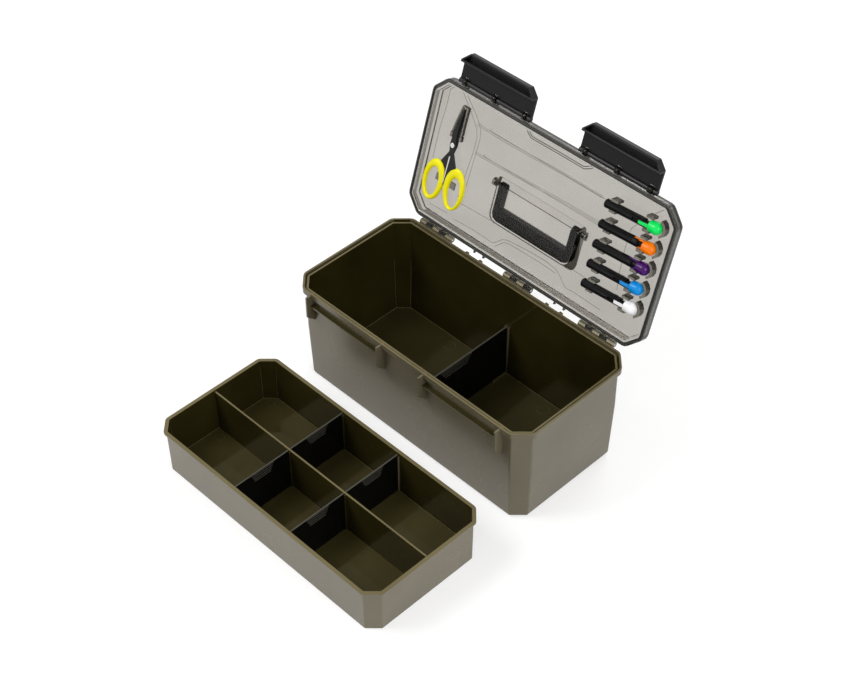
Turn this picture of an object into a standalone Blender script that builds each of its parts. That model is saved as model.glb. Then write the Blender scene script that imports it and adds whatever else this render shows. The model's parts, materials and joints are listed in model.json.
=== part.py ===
"""Tackle box with a clear lid, a lift-out tray, dividers, lid tools and scissors.

Units are metres, +Z is up, and the origin is the centre of the box's base.
X runs along the box, and +Y points to the hinge. The lid and all that it carries
are modelled in the closed position, and the lid's object is then turned open.
"""

import math

import bmesh
import bpy
from mathutils import Matrix, Vector

# Clearances that the whole object shares
GAP = 0.0003
BITE = 0.001
OVERRUN = 0.002

# Roundness
CORNER_STEPS = 2
FILLET_STEPS = 2
PIN_SIDES = 10
KNUCKLE_STEPS = 8
TOOL_SIDES = 12
POCKET_STEPS = 3

# Mouth of the box, which the rim, the lid and the tray all follow
MOUTH_LENGTH = 0.3304
MOUTH_DEPTH = 0.1544
CORNER_CUT = 0.0138
CORNER_RADIUS = 0.002
LEAST_RADIUS = 0.0005
CUT_GROWTH = 2 - math.sqrt(2)

# Box body
BOX_HEIGHT = 0.131
WALL = 0.003
LOWER_WALL = 0.0028
FLOOR = 0.0028
TAPER_HEIGHT = 0.075
BASE_INSET = 0.0028
BASE_RADIUS = 0.005
FLOOR_RADIUS = 0.0025
FLANGE_WIDTH = 0.0036
FLANGE_HEIGHT = 0.0065
LIP_WIDTH = 0.0023
GROOVE_WIDTH = 0.0021
GROOVE_DEPTH = 0.0016
RIDGE_DROP = 0.002
RIM_OUT = WALL + FLANGE_WIDTH
LIP_IN = RIM_OUT - LIP_WIDTH
RIDGE_OUT = LIP_IN - GROOVE_WIDTH
RIDGE_TOP = BOX_HEIGHT - RIDGE_DROP
FLANGE_Y = MOUTH_DEPTH / 2 + RIM_OUT

# Lid shell and its seal
LID_FACE = BOX_HEIGHT + GAP
LID_DEPTH = 0.01
LID_PANEL = 0.0025
LID_DRAFT = 0.001
LID_FILLET = 0.0015
LID_BEVEL = 0.0038
PANEL_UNDER = LID_FACE + LID_DEPTH
LID_TOP = PANEL_UNDER + LID_PANEL
LID_OPEN_DEGREES = 107.5
SEAL_INSET = 0.0009
SEAL_WIDTH = 0.0033
SEAL_HEIGHT = 0.002
SEAL_BEAD = 0.0009
SEAL_GROOVE = 0.0012
SEAL_OUT = RIM_OUT - SEAL_INSET
SEAL_IN = SEAL_OUT - SEAL_WIDTH
RIM_BITE = (SEAL_INSET - GAP) / 2
RELIEF_WIDTH = 0.003
RELIEF_DEPTH = 0.0008
RELIEF_LENGTH = 0.18
RELIEF_PLACES = (-0.0495, -0.0188)

# Hinge: each group of knuckles has a name, a middle along X and a count
HINGE_LEFT_END = 0.0452
HINGE_RIGHT_END = 0.0472
HINGE_LEFT = HINGE_LEFT_END - MOUTH_LENGTH / 2
HINGE_MIDDLE = 0.0037
HINGE_RIGHT = MOUTH_LENGTH / 2 - HINGE_RIGHT_END
HINGE_GROUPS = (("left", HINGE_LEFT, 5), ("middle", HINGE_MIDDLE, 4), ("right", HINGE_RIGHT, 5))
KNUCKLE_PITCH = 0.0099
KNUCKLE_RADIUS = 0.0035
HINGE_AIR = 0.0005
ARM_DROP = 0.0008
ARM_ROOT = 0.0055
PIN_RADIUS = 0.0012
HINGE_Y = FLANGE_Y + KNUCKLE_RADIUS + HINGE_AIR
HINGE_Z = LID_FACE

# Stop nibs on the box and the legs on the lid that meet them
NIB_WIDTH = 0.004
NIB_HEIGHT = 0.003
NIB_REACH = 0.0026
NIB_DROP = 0.0003
LEG_WIDTH = 0.002
LEG_HEIGHT = 0.003
LEG_REACH = 0.003
LEFT_BAY = (HINGE_LEFT + HINGE_MIDDLE) / 2
RIGHT_BAY = (HINGE_MIDDLE + HINGE_RIGHT) / 2
NIB_BEFORE = 0.012
LEG_BEFORE = 0.0053
STOP_AFTER = 0.0082
NIB_PLACES = (
    LEFT_BAY - NIB_BEFORE,
    LEFT_BAY + STOP_AFTER,
    RIGHT_BAY - NIB_BEFORE,
    RIGHT_BAY + STOP_AFTER,
)
LEG_PLACES = (
    LEFT_BAY - LEG_BEFORE,
    LEFT_BAY + STOP_AFTER,
    RIGHT_BAY - LEG_BEFORE,
    RIGHT_BAY + STOP_AFTER,
)

# Latches, one at each side of the middle
LATCH_END = 0.0792
LATCH_CENTRE = MOUTH_LENGTH / 2 - LATCH_END
LATCH_WIDTH = 0.1036
LATCH_LENGTH = 0.034
LATCH_STANDOFF = 0.0058
LATCH_OUTSIDE = 0.0022
LATCH_INSIDE = 0.0003
LATCH_BARREL = 0.003
LATCH_TIP_CUT = 0.009
LATCH_RIM_WIDTH = 0.0018
LATCH_RIM_HEIGHT = 0.0036
HOOK_START = 0.0226
HOOK_THICKNESS = 0.0022
HOOK_HEIGHT = 0.0072
LUG_WIDTH = 0.0065
LUG_SPACING = 0.0434
LUG_NOTCH_AIR = 0.0005
LUG_NOTCH_DEPTH = 0.005
LATCH_PIN_Y = -(FLANGE_Y + LATCH_STANDOFF)
LATCH_PIN_Z = LID_FACE
LATCH_SIDES = (("left", -1), ("right", 1))

# Catches on the front wall, under the latches
CATCH_AIR = 0.0017
CATCH_RIB = 0.002
CATCH_REACH = 0.0072
CATCH_DROP = 0.0014
CATCH_HEIGHT = 0.0276
RAIL_DEPTH = 0.0063
RAIL_DROP = 0.0146
RAIL_EDGE = 0.0015

# Carry handle and the pocket that it folds into
LID_SIDE_FIELD = 0.1092
HANDLE_LENGTH = MOUTH_LENGTH - 2 * LID_SIDE_FIELD
HANDLE_SIDE_AIR = 0.007
POCKET_LENGTH = HANDLE_LENGTH + 2 * HANDLE_SIDE_AIR
POCKET_DEPTH = 0.0546
POCKET_Y = 0.0194
POCKET_PIVOT_RADIUS = 0.003
POCKET_GRIP_RADIUS = 0.009
POCKET_SLOPE = 0.625
POCKET_WALL = 0.002
POCKET_FLOOR = 0.002
POCKET_LIFT = 0.002
HANDLE_ARM = 0.008
HANDLE_GRIP = 0.015
HANDLE_THICKNESS = 0.0088
HANDLE_CORNER = 0.008
HANDLE_PIVOT_Y = 0.0005
HANDLE_REACH = 0.0395
HANDLE_PIVOT_LIFT = 0.0091
HANDLE_PIVOT_Z = LID_FACE + HANDLE_PIVOT_LIFT
HANDLE_EYE_DROP = 0.0002
TRUNNION_RADIUS = 0.002
TRUNNION_LENGTH = 0.0085
BOSS_RADIUS = 0.0046
BOSS_OVERHANG = 0.004
BOSS_END = POCKET_LENGTH / 2 + BOSS_OVERHANG

# Tray, which stands in front of the box and hangs on the box's ridge when stored
TRAY_X = 0.001
TRAY_Y = -0.208
TRAY_HEIGHT = 0.0582
TRAY_SIDE_CLEARANCE = 0.0013
TRAY_FRONT_CLEARANCE = 0.0005
TRAY_WALL = 0.0015
TRAY_FLOOR = 0.0018
TRAY_OVERHANG = 0.0027
TRAY_FLANGE = 0.0022
TRAY_DRAFT = 0.0008
TRAY_FILLET = 0.0015
TRAY_CUT = 0.0131
TRAY_BITE = 0.0007
TRAY_RIB = 0.002
TRAY_RIB_DROP = 0.0022
TRAY_STORED_Z = RIDGE_TOP + TRAY_FLANGE - TRAY_HEIGHT

# Dividers and the slots that hold them
DIVIDER_THICKNESS = 0.0022
BOX_DIVIDER_X = 0.0012
BOX_DIVIDER_DROP = 0.0006
BOX_SLOT_DEPTH = 0.0037
BOX_SLOT_RIB = 0.0015
BOX_FLOOR_RIB_LENGTH = 0.022
BOX_FLOOR_RIB_HEIGHT = 0.0025
BOX_DIVIDER_CORNER = 0.0035
TRAY_DIVIDER_THICKNESS = 0.0018
TRAY_DIVIDER_X = 0.0424
TRAY_SLOT_DEPTH = 0.0016
TRAY_SLOT_RIB = 0.0012
TRAY_SLOT_DROP = 0.004
TRAY_DIVIDER_CORNER = 0.0022
GRIP_RAISE = 0.0006
GRIP_BAR = 0.001
GRIP_PITCH = 0.0032
GRIP_BARS = 4
BOX_GRIP_LENGTH = 0.048
BOX_GRIP_Y = -0.0048
TRAY_GRIP_LENGTH = 0.03
GRIP_TAPER_SHARE = 0.09

# Lid tools: a ribbed barrel, a sprung ball knob and a needle
TOOL_COUNT = 5
TOOL_PITCH = 0.0237
TOOL_FIRST_Y = -0.0497
TOOL_END = 0.084
TOOL_NOSE_X = MOUTH_LENGTH / 2 - TOOL_END
TOOL_TILT_DEGREES = -3.3
BALL_PANEL_GAP = 0.0004
BARREL_RADIUS = 0.005
BARREL_LENGTH = 0.0515
BARREL_CHAMFER = 0.001
CORE_RADIUS = 0.003
CORE_LENGTH = 0.0085
BALL_RADIUS = 0.0069
TOOL_DEPTH = LID_DEPTH - BALL_RADIUS - BALL_PANEL_GAP
BALL_STAND = 0.0144
BALL_X = BARREL_LENGTH + BALL_STAND
BALL_RINGS = 6
SLEEVE_LENGTH = 0.0077
SLEEVE_RADIUS = 0.0061
PLUNGER_TRAVEL = 0.008
SOCKET_WALL = BALL_STAND + BALL_RADIUS - CORE_LENGTH - PLUNGER_TRAVEL - GAP
TONGUE_WIDTH = 0.003
TONGUE_ENTRY = 0.006
NEEDLE_RADIUS = 0.0008
NEEDLE_TIP = 0.001
TOOL_ROLL_DEGREES = (90, 0, 0, 90, 90)
TOOL_COLOURS = (
    (0.0, 0.60, 0.19),
    (0.95, 0.19, 0.01),
    (0.055, 0.008, 0.11),
    (0.0, 0.17, 0.62),
    (0.85, 0.85, 0.85),
)

# Clips on the lid that hold the tools
NOSE_CLIP_X = 0.0064
NOSE_CLIP_LENGTH = 0.0098
NOSE_TAB_X = 0.004
NOSE_TAB_LENGTH = 0.0082
CLIP_THICKNESS = 0.0027
TAB_THICKNESS = 0.0035
CLIP_TALL = 0.002
TAB_SHORT = 0.0015
BALL_CLIP_BACK = 0.0139
BALL_CLIP_X = BALL_X - BALL_CLIP_BACK
BALL_CLIP_LENGTH = 0.0086
BALL_TAB_BACK = 0.0176
BALL_TAB_X = BALL_X - BALL_TAB_BACK
BALL_TAB_LENGTH = 0.0085
SADDLE_BACK = 0.0132
SADDLE_X = BARREL_LENGTH - SADDLE_BACK
SADDLE_LENGTH = 0.004
SADDLE_WIDTH = 0.004
CRESCENT_AIR = 0.0009
CRESCENT_INNER = BALL_RADIUS + CRESCENT_AIR
CRESCENT_THICKNESS = 0.003
CRESCENT_DEGREES = (-68, 62)
CRESCENT_STEPS = 5

# Scissors and what holds them
SCISSORS_END = 0.0345
SCISSORS_X = SCISSORS_END - MOUTH_LENGTH / 2
SCISSORS_Y = -0.0123
SCISSORS_TILT_DEGREES = 1.5
SCISSORS_DEPTH = 0.0069
BLADE_LENGTH = 0.0455
BLADE_WIDTH = 0.0092
BLADE_THICKNESS = 0.0015
BLADE_LEAN = 0.003
TANG_LENGTH = 0.049
TANG_WIDTH = 0.0125
TANG_AIR = 0.00025
BLADE_SHARES = (
    (0.065, 1.0),
    (-0.09, 0.985),
    (-0.33, 0.62),
    (-0.45, 0.31),
    (-0.5, 0.0),
    (-0.3, -0.2),
)
BLADE_BACK_SHARES = (
    (0.5, -0.05),
    (0.35, 0.07),
    (0.15, 0.31),
    (0.12, 0.62),
)
TANG_INNER_SHARES = (-0.24, -1.0)
TANG_SHARES = (
    (0.3, -1.0),
    (0.31, -0.9),
    (0.44, -0.755),
    (0.72, -0.61),
    (1.0, -0.52),
    (0.27, -0.165),
)
GRIP_THICKNESS = 0.0056
GRIP_X = 0.0157
GRIP_Y = -0.0492
GRIP_STAGGER = 0.0015
GRIP_HALF_WIDTH = 0.0148
GRIP_HALF_LENGTH = 0.0254
GRIP_TUBE = 0.0048
GRIP_TILT_DEGREES = 2
GRIP_SIDES = 24
RIVET_RADIUS = 0.0015
RIVET_HEAD_RADIUS = 0.003
RIVET_HEAD_HEIGHT = 0.0009
HOLSTER_START = 0.0145
HOLSTER_AIR = 0.0012
HOLSTER_WALL = 0.0016
HOLSTER_START_HALF = 0.005
HOLSTER_END_HALF = 0.0016
HOLSTER_TALL = 0.001
HOLSTER_STEPS = 3
BLADE_CLIP_Y = 0.0075
BLADE_CLIP_LENGTH = 0.006
BLADE_CLIP_WIDTH = 0.003
BLADE_CLIP_AIR = 0.0009
POST_WIDTH = 0.007
POST_LENGTH = 0.008
POST_Y = -0.0462
POST_AIR = 0.0018
POST_TALL = 0.0015


# General shapes


def clear_scene():
    """Remove every object, so that the script starts from an empty scene."""
    for item in list(bpy.data.objects):
        bpy.data.objects.remove(item, do_unlink=True)


def make_material(name, colour, roughness, alpha=1.0, metallic=0.0):
    """Principled material with one even colour."""
    material = bpy.data.materials.new(name)
    material.use_nodes = True
    shader = material.node_tree.nodes["Principled BSDF"]
    shader.inputs["Base Color"].default_value = (*colour, 1.0)
    shader.inputs["Roughness"].default_value = roughness
    shader.inputs["Metallic"].default_value = metallic
    shader.inputs["Alpha"].default_value = alpha
    return material


def arc(centre_a, centre_b, radius, start_degrees, end_degrees, steps):
    """Points of a circular arc in a plane, both ends included."""
    points = []
    for step in range(steps + 1):
        angle = math.radians(start_degrees + (end_degrees - start_degrees) * step / steps)
        points.append((centre_a + radius * math.cos(angle), centre_b + radius * math.sin(angle)))
    return points


def octagon(half_x, half_y, cut, radius):
    """Octagon with rounded corners, counter-clockwise, as (x, y) points."""
    corners = (
        (half_x, half_y - cut),
        (half_x - cut, half_y),
        (cut - half_x, half_y),
        (-half_x, half_y - cut),
        (-half_x, cut - half_y),
        (cut - half_x, -half_y),
        (half_x - cut, -half_y),
        (half_x, cut - half_y),
    )
    turn = 360 / len(corners)
    reach = radius / math.cos(math.radians(turn / 2))
    points = []
    for number, (x, y) in enumerate(corners):
        start = turn * number
        middle = math.radians(start + turn / 2)
        centre_x = x - reach * math.cos(middle)
        centre_y = y - reach * math.sin(middle)
        points += arc(centre_x, centre_y, radius, start, start + turn, CORNER_STEPS)
    return points


def bridge(mesh, low, high):
    """Faces between two rings of vertices."""
    count = len(low)
    for index in range(count):
        following = (index + 1) % count
        mesh.faces.new((low[index], low[following], high[following], high[index]))


def loft(rings):
    """Closed body through rings of points, with a flat cap at each end."""
    mesh = bmesh.new()
    loops = [[mesh.verts.new(point) for point in ring] for ring in rings]
    for low, high in zip(loops, loops[1:]):
        bridge(mesh, low, high)
    mesh.faces.new(loops[0])
    mesh.faces.new(loops[-1])
    bmesh.ops.recalc_face_normals(mesh, faces=mesh.faces)
    return mesh


def ring_body(rings):
    """Closed body whose last ring of points meets its first, like a tyre."""
    mesh = bmesh.new()
    loops = [[mesh.verts.new(point) for point in ring] for ring in rings]
    for low, high in zip(loops, loops[1:] + loops[:1]):
        bridge(mesh, low, high)
    bmesh.ops.recalc_face_normals(mesh, faces=mesh.faces)
    return mesh


def prism_x(outline, low, high):
    """Outline of (y, z) points, drawn out along X."""
    return loft([[(x, y, z) for y, z in outline] for x in (low, high)])


def prism_z(outline, low, high):
    """Outline of (x, y) points, drawn out along Z."""
    return loft([[(x, y, z) for x, y in outline] for z in (low, high)])


def block(x_range, y_range, z_range):
    """Rectangular block between three pairs of limits."""
    (x0, x1), (y0, y1) = sorted(x_range), sorted(y_range)
    return prism_z([(x0, y0), (x1, y0), (x1, y1), (x0, y1)], *sorted(z_range))


def circle_x(x, radius, centre_y=0.0, centre_z=0.0, sides=PIN_SIDES):
    """Ring of points around an axis along X."""
    points = arc(centre_y, centre_z, radius, 0, 360, sides)[:-1]
    return [(x, y, z) for y, z in points]


def rod_x(low, high, radius, centre_y=0.0, centre_z=0.0, sides=PIN_SIDES):
    """Round rod along X."""
    return loft([circle_x(x, radius, centre_y, centre_z, sides) for x in (low, high)])


def gather(shapes):
    """One mesh that holds several separate shapes."""
    whole = bmesh.new()
    carrier = bpy.data.meshes.new("carrier")
    for shape in shapes:
        shape.to_mesh(carrier)
        shape.free()
        whole.from_mesh(carrier)
    bpy.data.meshes.remove(carrier)
    return whole


def moved(shape, matrix):
    """The shape, moved and turned by a matrix."""
    bmesh.ops.transform(shape, matrix=matrix, verts=shape.verts)
    return shape


def to_object(shape, name="shape"):
    """New object in the scene that holds the shape."""
    data = bpy.data.meshes.new(name)
    shape.to_mesh(data)
    shape.free()
    item = bpy.data.objects.new(name, data)
    bpy.context.collection.objects.link(item)
    return item


def combine(item, shape, operation):
    """Join a shape to an object, or cut it out, with an exact Boolean."""
    other = to_object(shape)
    modifier = item.modifiers.new("combine", "BOOLEAN")
    modifier.operation = operation
    modifier.object = other
    graph = bpy.context.evaluated_depsgraph_get()
    result = bpy.data.meshes.new_from_object(item.evaluated_get(graph))
    item.modifiers.clear()
    spent = (item.data, other.data)
    item.data = result
    bpy.data.objects.remove(other, do_unlink=True)
    for data in spent:
        bpy.data.meshes.remove(data)


def join(item, *shapes):
    """Join separate shapes to an object."""
    combine(item, gather(shapes), "UNION")


def cut(item, *shapes):
    """Cut separate shapes out of an object."""
    combine(item, gather(shapes), "DIFFERENCE")


def finish(item, name, material, origin=(0.0, 0.0, 0.0), parent=None, parent_origin=(0.0, 0.0, 0.0)):
    """Name and colour an object, and put its origin where its piece turns or sits."""
    item.name = name
    item.data.name = name
    item.data.materials.clear()
    item.data.materials.append(material)
    item.data.transform(Matrix.Translation(-Vector(origin)))
    item.data.shade_smooth()
    item.data.set_sharp_from_angle(angle=math.radians(35))
    item.location = Vector(origin) - Vector(parent_origin)
    item.parent = parent
    return item


def mouth_ring(offset, height):
    """The mouth's octagon, grown by an offset, at a height."""
    outline = octagon(
        MOUTH_LENGTH / 2 + offset,
        MOUTH_DEPTH / 2 + offset,
        CORNER_CUT + offset * CUT_GROWTH,
        max(CORNER_RADIUS + offset, LEAST_RADIUS),
    )
    return [(x, y, height) for x, y in outline]


def knuckle_outline(pivot_y, wall_y, pivot_z, radius, side):
    """Round eye on an arm that rises (side 1) or falls (side -1) to a wall."""
    outward = math.copysign(1, pivot_y)
    lean = math.degrees(math.asin(ARM_DROP / radius))
    eye = arc(0, 0, radius, 180 - lean, 470, KNUCKLE_STEPS)
    wall = abs(wall_y) - abs(pivot_y) - RIM_BITE
    points = [(wall, ARM_DROP), *eye, (wall, ARM_ROOT)]
    return [(pivot_y + outward * y, pivot_z + side * z) for y, z in points]


def hinge_knuckles(side, first):
    """Every second knuckle of each hinge group, starting from the given one."""
    outline = knuckle_outline(HINGE_Y, FLANGE_Y, HINGE_Z, KNUCKLE_RADIUS, side)
    half = (KNUCKLE_PITCH - GAP) / 2
    shapes = []
    for _, middle, count in HINGE_GROUPS:
        for number in range(first, count, 2):
            centre = middle + (number - (count - 1) / 2) * KNUCKLE_PITCH
            shapes.append(prism_x(outline, centre - half, centre + half))
    return shapes


def hinge_bores():
    """Cutters for the pin holes through the knuckles."""
    shapes = []
    for _, middle, count in HINGE_GROUPS:
        half = count * KNUCKLE_PITCH / 2 + OVERRUN
        shapes.append(rod_x(middle - half, middle + half, PIN_RADIUS + GAP, HINGE_Y, HINGE_Z))
    return shapes


# Box body


def inner_wall_y(height):
    """Half depth of the box's inside at a height."""
    lean = min(max((TAPER_HEIGHT - height) / TAPER_HEIGHT, 0), 1)
    return MOUTH_DEPTH / 2 - lean * (BASE_INSET + LOWER_WALL - WALL)


def box_shell():
    """Tapered shell with its grooved rim."""
    base_edge = WALL - BASE_INSET
    floor_edge = base_edge - LOWER_WALL
    groove_floor = RIDGE_TOP - GROOVE_DEPTH
    flange_under = BOX_HEIGHT - FLANGE_HEIGHT
    profile = arc(base_edge - BASE_RADIUS, BASE_RADIUS, BASE_RADIUS, 270, 360, FILLET_STEPS)
    profile += [
        (WALL, TAPER_HEIGHT),
        (WALL, flange_under),
        (RIM_OUT, flange_under),
        (RIM_OUT, BOX_HEIGHT),
        (LIP_IN, BOX_HEIGHT),
        (LIP_IN, groove_floor),
        (RIDGE_OUT, groove_floor),
        (RIDGE_OUT, RIDGE_TOP),
        (0, RIDGE_TOP),
        (0, TAPER_HEIGHT),
    ]
    profile += arc(
        floor_edge - FLOOR_RADIUS, FLOOR + FLOOR_RADIUS, FLOOR_RADIUS, 0, -90, FILLET_STEPS
    )
    return loft([mouth_ring(offset, height) for offset, height in profile])


def catch_ribs():
    """Upright ribs that guard each latch on the front wall."""
    wall_y = MOUTH_DEPTH / 2 + WALL
    outer_y = FLANGE_Y + CATCH_REACH
    top = BOX_HEIGHT - CATCH_DROP
    bottom = top - CATCH_HEIGHT
    root = bottom - (outer_y - wall_y)
    outline = [(BITE - wall_y, top), (-outer_y, top), (-outer_y, bottom), (BITE - wall_y, root)]
    inner = LATCH_WIDTH / 2 + CATCH_AIR
    shapes = []
    for _, side in LATCH_SIDES:
        for end in (-1, 1):
            near = side * LATCH_CENTRE + end * inner
            shapes.append(prism_x(outline, *sorted((near, near + end * CATCH_RIB))))
    return shapes


def catch_rails():
    """Wedge rail between each pair of ribs, which the latch's hook grips from below."""
    root_y = BITE - MOUTH_DEPTH / 2 - WALL
    front_y = -(MOUTH_DEPTH / 2 + WALL + RAIL_DEPTH)
    top = BOX_HEIGHT - RAIL_DROP
    front_low = top - RAIL_EDGE
    hook_y = LATCH_PIN_Y + LATCH_INSIDE + HOOK_HEIGHT
    hook_z = LATCH_PIN_Z - HOOK_START
    slope = (front_low - (hook_z + 2 * GAP)) / (hook_y - front_y)
    root_low = front_low - slope * (root_y - front_y)
    outline = [(root_y, top), (front_y, top), (front_y, front_low), (root_y, root_low)]
    half = LATCH_WIDTH / 2 + CATCH_AIR + CATCH_RIB / 2
    return [
        prism_x(outline, side * LATCH_CENTRE - half, side * LATCH_CENTRE + half)
        for _, side in LATCH_SIDES
    ]


def rim_nibs():
    """Small stops on the back of the rim."""
    top = BOX_HEIGHT - NIB_DROP
    return [
        block(
            (place - NIB_WIDTH / 2, place + NIB_WIDTH / 2),
            (FLANGE_Y - RIM_BITE, FLANGE_Y + NIB_REACH),
            (top - NIB_HEIGHT, top),
        )
        for place in NIB_PLACES
    ]


def box_divider_top():
    """Height of the box's divider, just under the stored tray."""
    return TRAY_STORED_Z - BOX_DIVIDER_DROP


def box_slots():
    """Ribs on the walls and floor that the box's divider slides between."""
    top = box_divider_top()
    rib_y = MOUTH_DEPTH / 2 - BOX_SLOT_DEPTH
    floor_end = rib_y - BOX_FLOOR_RIB_LENGTH
    floor_top = FLOOR + BOX_FLOOR_RIB_HEIGHT
    outline = [
        (inner_wall_y(FLOOR) + BITE, FLOOR - BITE),
        (inner_wall_y(top) + BITE, top),
        (rib_y, top),
        (rib_y, floor_top),
        (floor_end, floor_top),
        (floor_end, FLOOR - BITE),
    ]
    near = DIVIDER_THICKNESS / 2 + GAP
    shapes = []
    for wall_side in (-1, 1):
        side_outline = [(wall_side * y, z) for y, z in outline]
        for end in (-1, 1):
            start = BOX_DIVIDER_X + end * near
            shapes.append(prism_x(side_outline, *sorted((start, start + end * BOX_SLOT_RIB))))
    return shapes


def make_box_body(material):
    """Box with its catches, hinge knuckles, nibs and divider slots."""
    item = to_object(box_shell())
    join(item, *catch_ribs())
    join(item, *catch_rails())
    join(item, *hinge_knuckles(-1, 0), *rim_nibs(), *box_slots())
    cut(item, *hinge_bores())
    return finish(item, "box_body", material)


# Lid


def lid_shell():
    """Lid panel with its deep edge and the channel for the seal."""
    channel_in = SEAL_IN - GAP
    channel_out = SEAL_OUT + GAP
    ceiling = LID_FACE + SEAL_HEIGHT + GAP
    profile = arc(
        -LID_DRAFT - LID_FILLET, PANEL_UNDER - LID_FILLET, LID_FILLET, 90, 0, FILLET_STEPS
    )
    profile += [
        (0, LID_FACE),
        (channel_in, LID_FACE),
        (channel_in, ceiling),
        (channel_out, ceiling),
        (channel_out, LID_FACE),
        (RIM_OUT, LID_FACE),
    ]
    profile += arc(RIM_OUT - LID_BEVEL, LID_TOP - LID_BEVEL, LID_BEVEL, 0, 90, FILLET_STEPS)
    return loft([mouth_ring(offset, height) for offset, height in profile])


def pocket_ring(inset, height):
    """Outline of the handle pocket at a height, drawn in by an inset."""
    shrink = (PANEL_UNDER - height) * POCKET_SLOPE + inset
    half_x = POCKET_LENGTH / 2 - shrink
    half_y = POCKET_DEPTH / 2 - shrink
    outline = []
    for corner, radius in enumerate(
        (POCKET_GRIP_RADIUS, POCKET_GRIP_RADIUS, POCKET_PIVOT_RADIUS, POCKET_PIVOT_RADIUS)
    ):
        start = 90 * corner
        x_side = 1 if corner in (0, 3) else -1
        y_side = 1 if corner in (0, 1) else -1
        centre_x = x_side * (half_x - radius)
        centre_y = y_side * (half_y - radius)
        outline += arc(centre_x, centre_y, radius, start, start + 90, POCKET_STEPS)
    return [(x, POCKET_Y + y, height) for x, y in outline]


def pocket_body():
    """Tray-shaped body that hangs under the panel around the pocket."""
    return loft([pocket_ring(0, PANEL_UNDER + BITE), pocket_ring(0, LID_FACE + POCKET_LIFT)])


def pocket_hollow():
    """Cutter that opens the pocket to the lid's outside."""
    floor = LID_FACE + POCKET_LIFT + POCKET_FLOOR
    return loft([pocket_ring(POCKET_WALL, LID_TOP + OVERRUN), pocket_ring(POCKET_WALL, floor)])


def trunnion_bosses():
    """Bosses beside the pocket that carry the handle's trunnions."""
    inner = POCKET_LENGTH / 2 - POCKET_WALL
    outline = arc(HANDLE_PIVOT_Y, HANDLE_PIVOT_Z, BOSS_RADIUS, 180, 360, KNUCKLE_STEPS)
    outline += [
        (HANDLE_PIVOT_Y + BOSS_RADIUS, PANEL_UNDER + BITE),
        (HANDLE_PIVOT_Y - BOSS_RADIUS, PANEL_UNDER + BITE),
    ]
    return [prism_x(outline, *sorted((end * inner, end * BOSS_END))) for end in (-1, 1)]


def trunnion_holes():
    """Cutters for the trunnions' blind holes."""
    start = HANDLE_LENGTH / 2
    depth = TRUNNION_LENGTH + GAP
    return [
        rod_x(
            *sorted((end * start, end * (start + depth))),
            TRUNNION_RADIUS + GAP,
            HANDLE_PIVOT_Y,
            HANDLE_PIVOT_Z,
        )
        for end in (-1, 1)
    ]


def lug_places(side):
    """Middle of each of a latch's three lugs along X."""
    return [side * LATCH_CENTRE + place * LUG_SPACING for place in (-1, 0, 1)]


def latch_lugs():
    """Lugs on the lid's front edge that carry the latches' pins."""
    outline = knuckle_outline(LATCH_PIN_Y, FLANGE_Y, LATCH_PIN_Z, LATCH_BARREL, 1)
    return [
        prism_x(outline, place - LUG_WIDTH / 2, place + LUG_WIDTH / 2)
        for _, side in LATCH_SIDES
        for place in lug_places(side)
    ]


def latch_bore(side):
    """Cutter for one latch's pin hole."""
    half = LUG_SPACING + LUG_WIDTH / 2 + OVERRUN
    centre = side * LATCH_CENTRE
    return rod_x(centre - half, centre + half, PIN_RADIUS + GAP, LATCH_PIN_Y, LATCH_PIN_Z)


def lid_legs():
    """Short legs on the lid's hinge side."""
    low = LID_FACE + NIB_DROP
    return [
        block(
            (place - LEG_WIDTH / 2, place + LEG_WIDTH / 2),
            (FLANGE_Y - RIM_BITE, FLANGE_Y + LEG_REACH),
            (low, low + LEG_HEIGHT),
        )
        for place in LEG_PLACES
    ]


def tool_matrix(number):
    """Place of a tool's nose on the closed lid, with +X along the tool."""
    place = (TOOL_NOSE_X, TOOL_FIRST_Y + number * TOOL_PITCH, LID_FACE + TOOL_DEPTH)
    turn = Matrix.Rotation(math.radians(TOOL_TILT_DEGREES), 4, "Z")
    return Matrix.Translation(place) @ turn


def tool_clips():
    """Clips, tabs, saddle and end wall that hold one tool, in the tool's frame."""
    root = PANEL_UNDER + BITE - (LID_FACE + TOOL_DEPTH)
    barrel_side = BARREL_RADIUS + GAP
    ball_side = BALL_RADIUS + GAP
    nose = (NOSE_CLIP_X, NOSE_CLIP_X + NOSE_CLIP_LENGTH)
    nose_tab = (NOSE_TAB_X, NOSE_TAB_X + NOSE_TAB_LENGTH)
    ball = (BALL_CLIP_X, BALL_CLIP_X + BALL_CLIP_LENGTH)
    ball_tab = (BALL_TAB_X, BALL_TAB_X + BALL_TAB_LENGTH)
    outer = CRESCENT_INNER + CRESCENT_THICKNESS
    crescent = arc(BALL_X, 0, outer, *CRESCENT_DEGREES, CRESCENT_STEPS)
    crescent += arc(BALL_X, 0, CRESCENT_INNER, *reversed(CRESCENT_DEGREES), CRESCENT_STEPS)
    return [
        block(nose, (-barrel_side, -barrel_side - CLIP_THICKNESS), (-CLIP_TALL, root)),
        block(nose_tab, (barrel_side, barrel_side + TAB_THICKNESS), (TAB_SHORT, root)),
        block(ball, (-ball_side, -ball_side - CLIP_THICKNESS), (-CLIP_TALL, root)),
        block(ball_tab, (ball_side, ball_side + TAB_THICKNESS), (TAB_SHORT, root)),
        block(
            (SADDLE_X, SADDLE_X + SADDLE_LENGTH),
            (-SADDLE_WIDTH / 2, SADDLE_WIDTH / 2),
            (barrel_side, root),
        ),
        prism_z(crescent, 0, root),
    ]


def scissors_matrix():
    """Place of the scissors' rivet on the closed lid, with +Y towards the tips."""
    place = (SCISSORS_X, SCISSORS_Y, LID_FACE + SCISSORS_DEPTH)
    turn = Matrix.Rotation(math.radians(180 + SCISSORS_TILT_DEGREES), 4, "Z")
    return Matrix.Translation(place) @ turn


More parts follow.
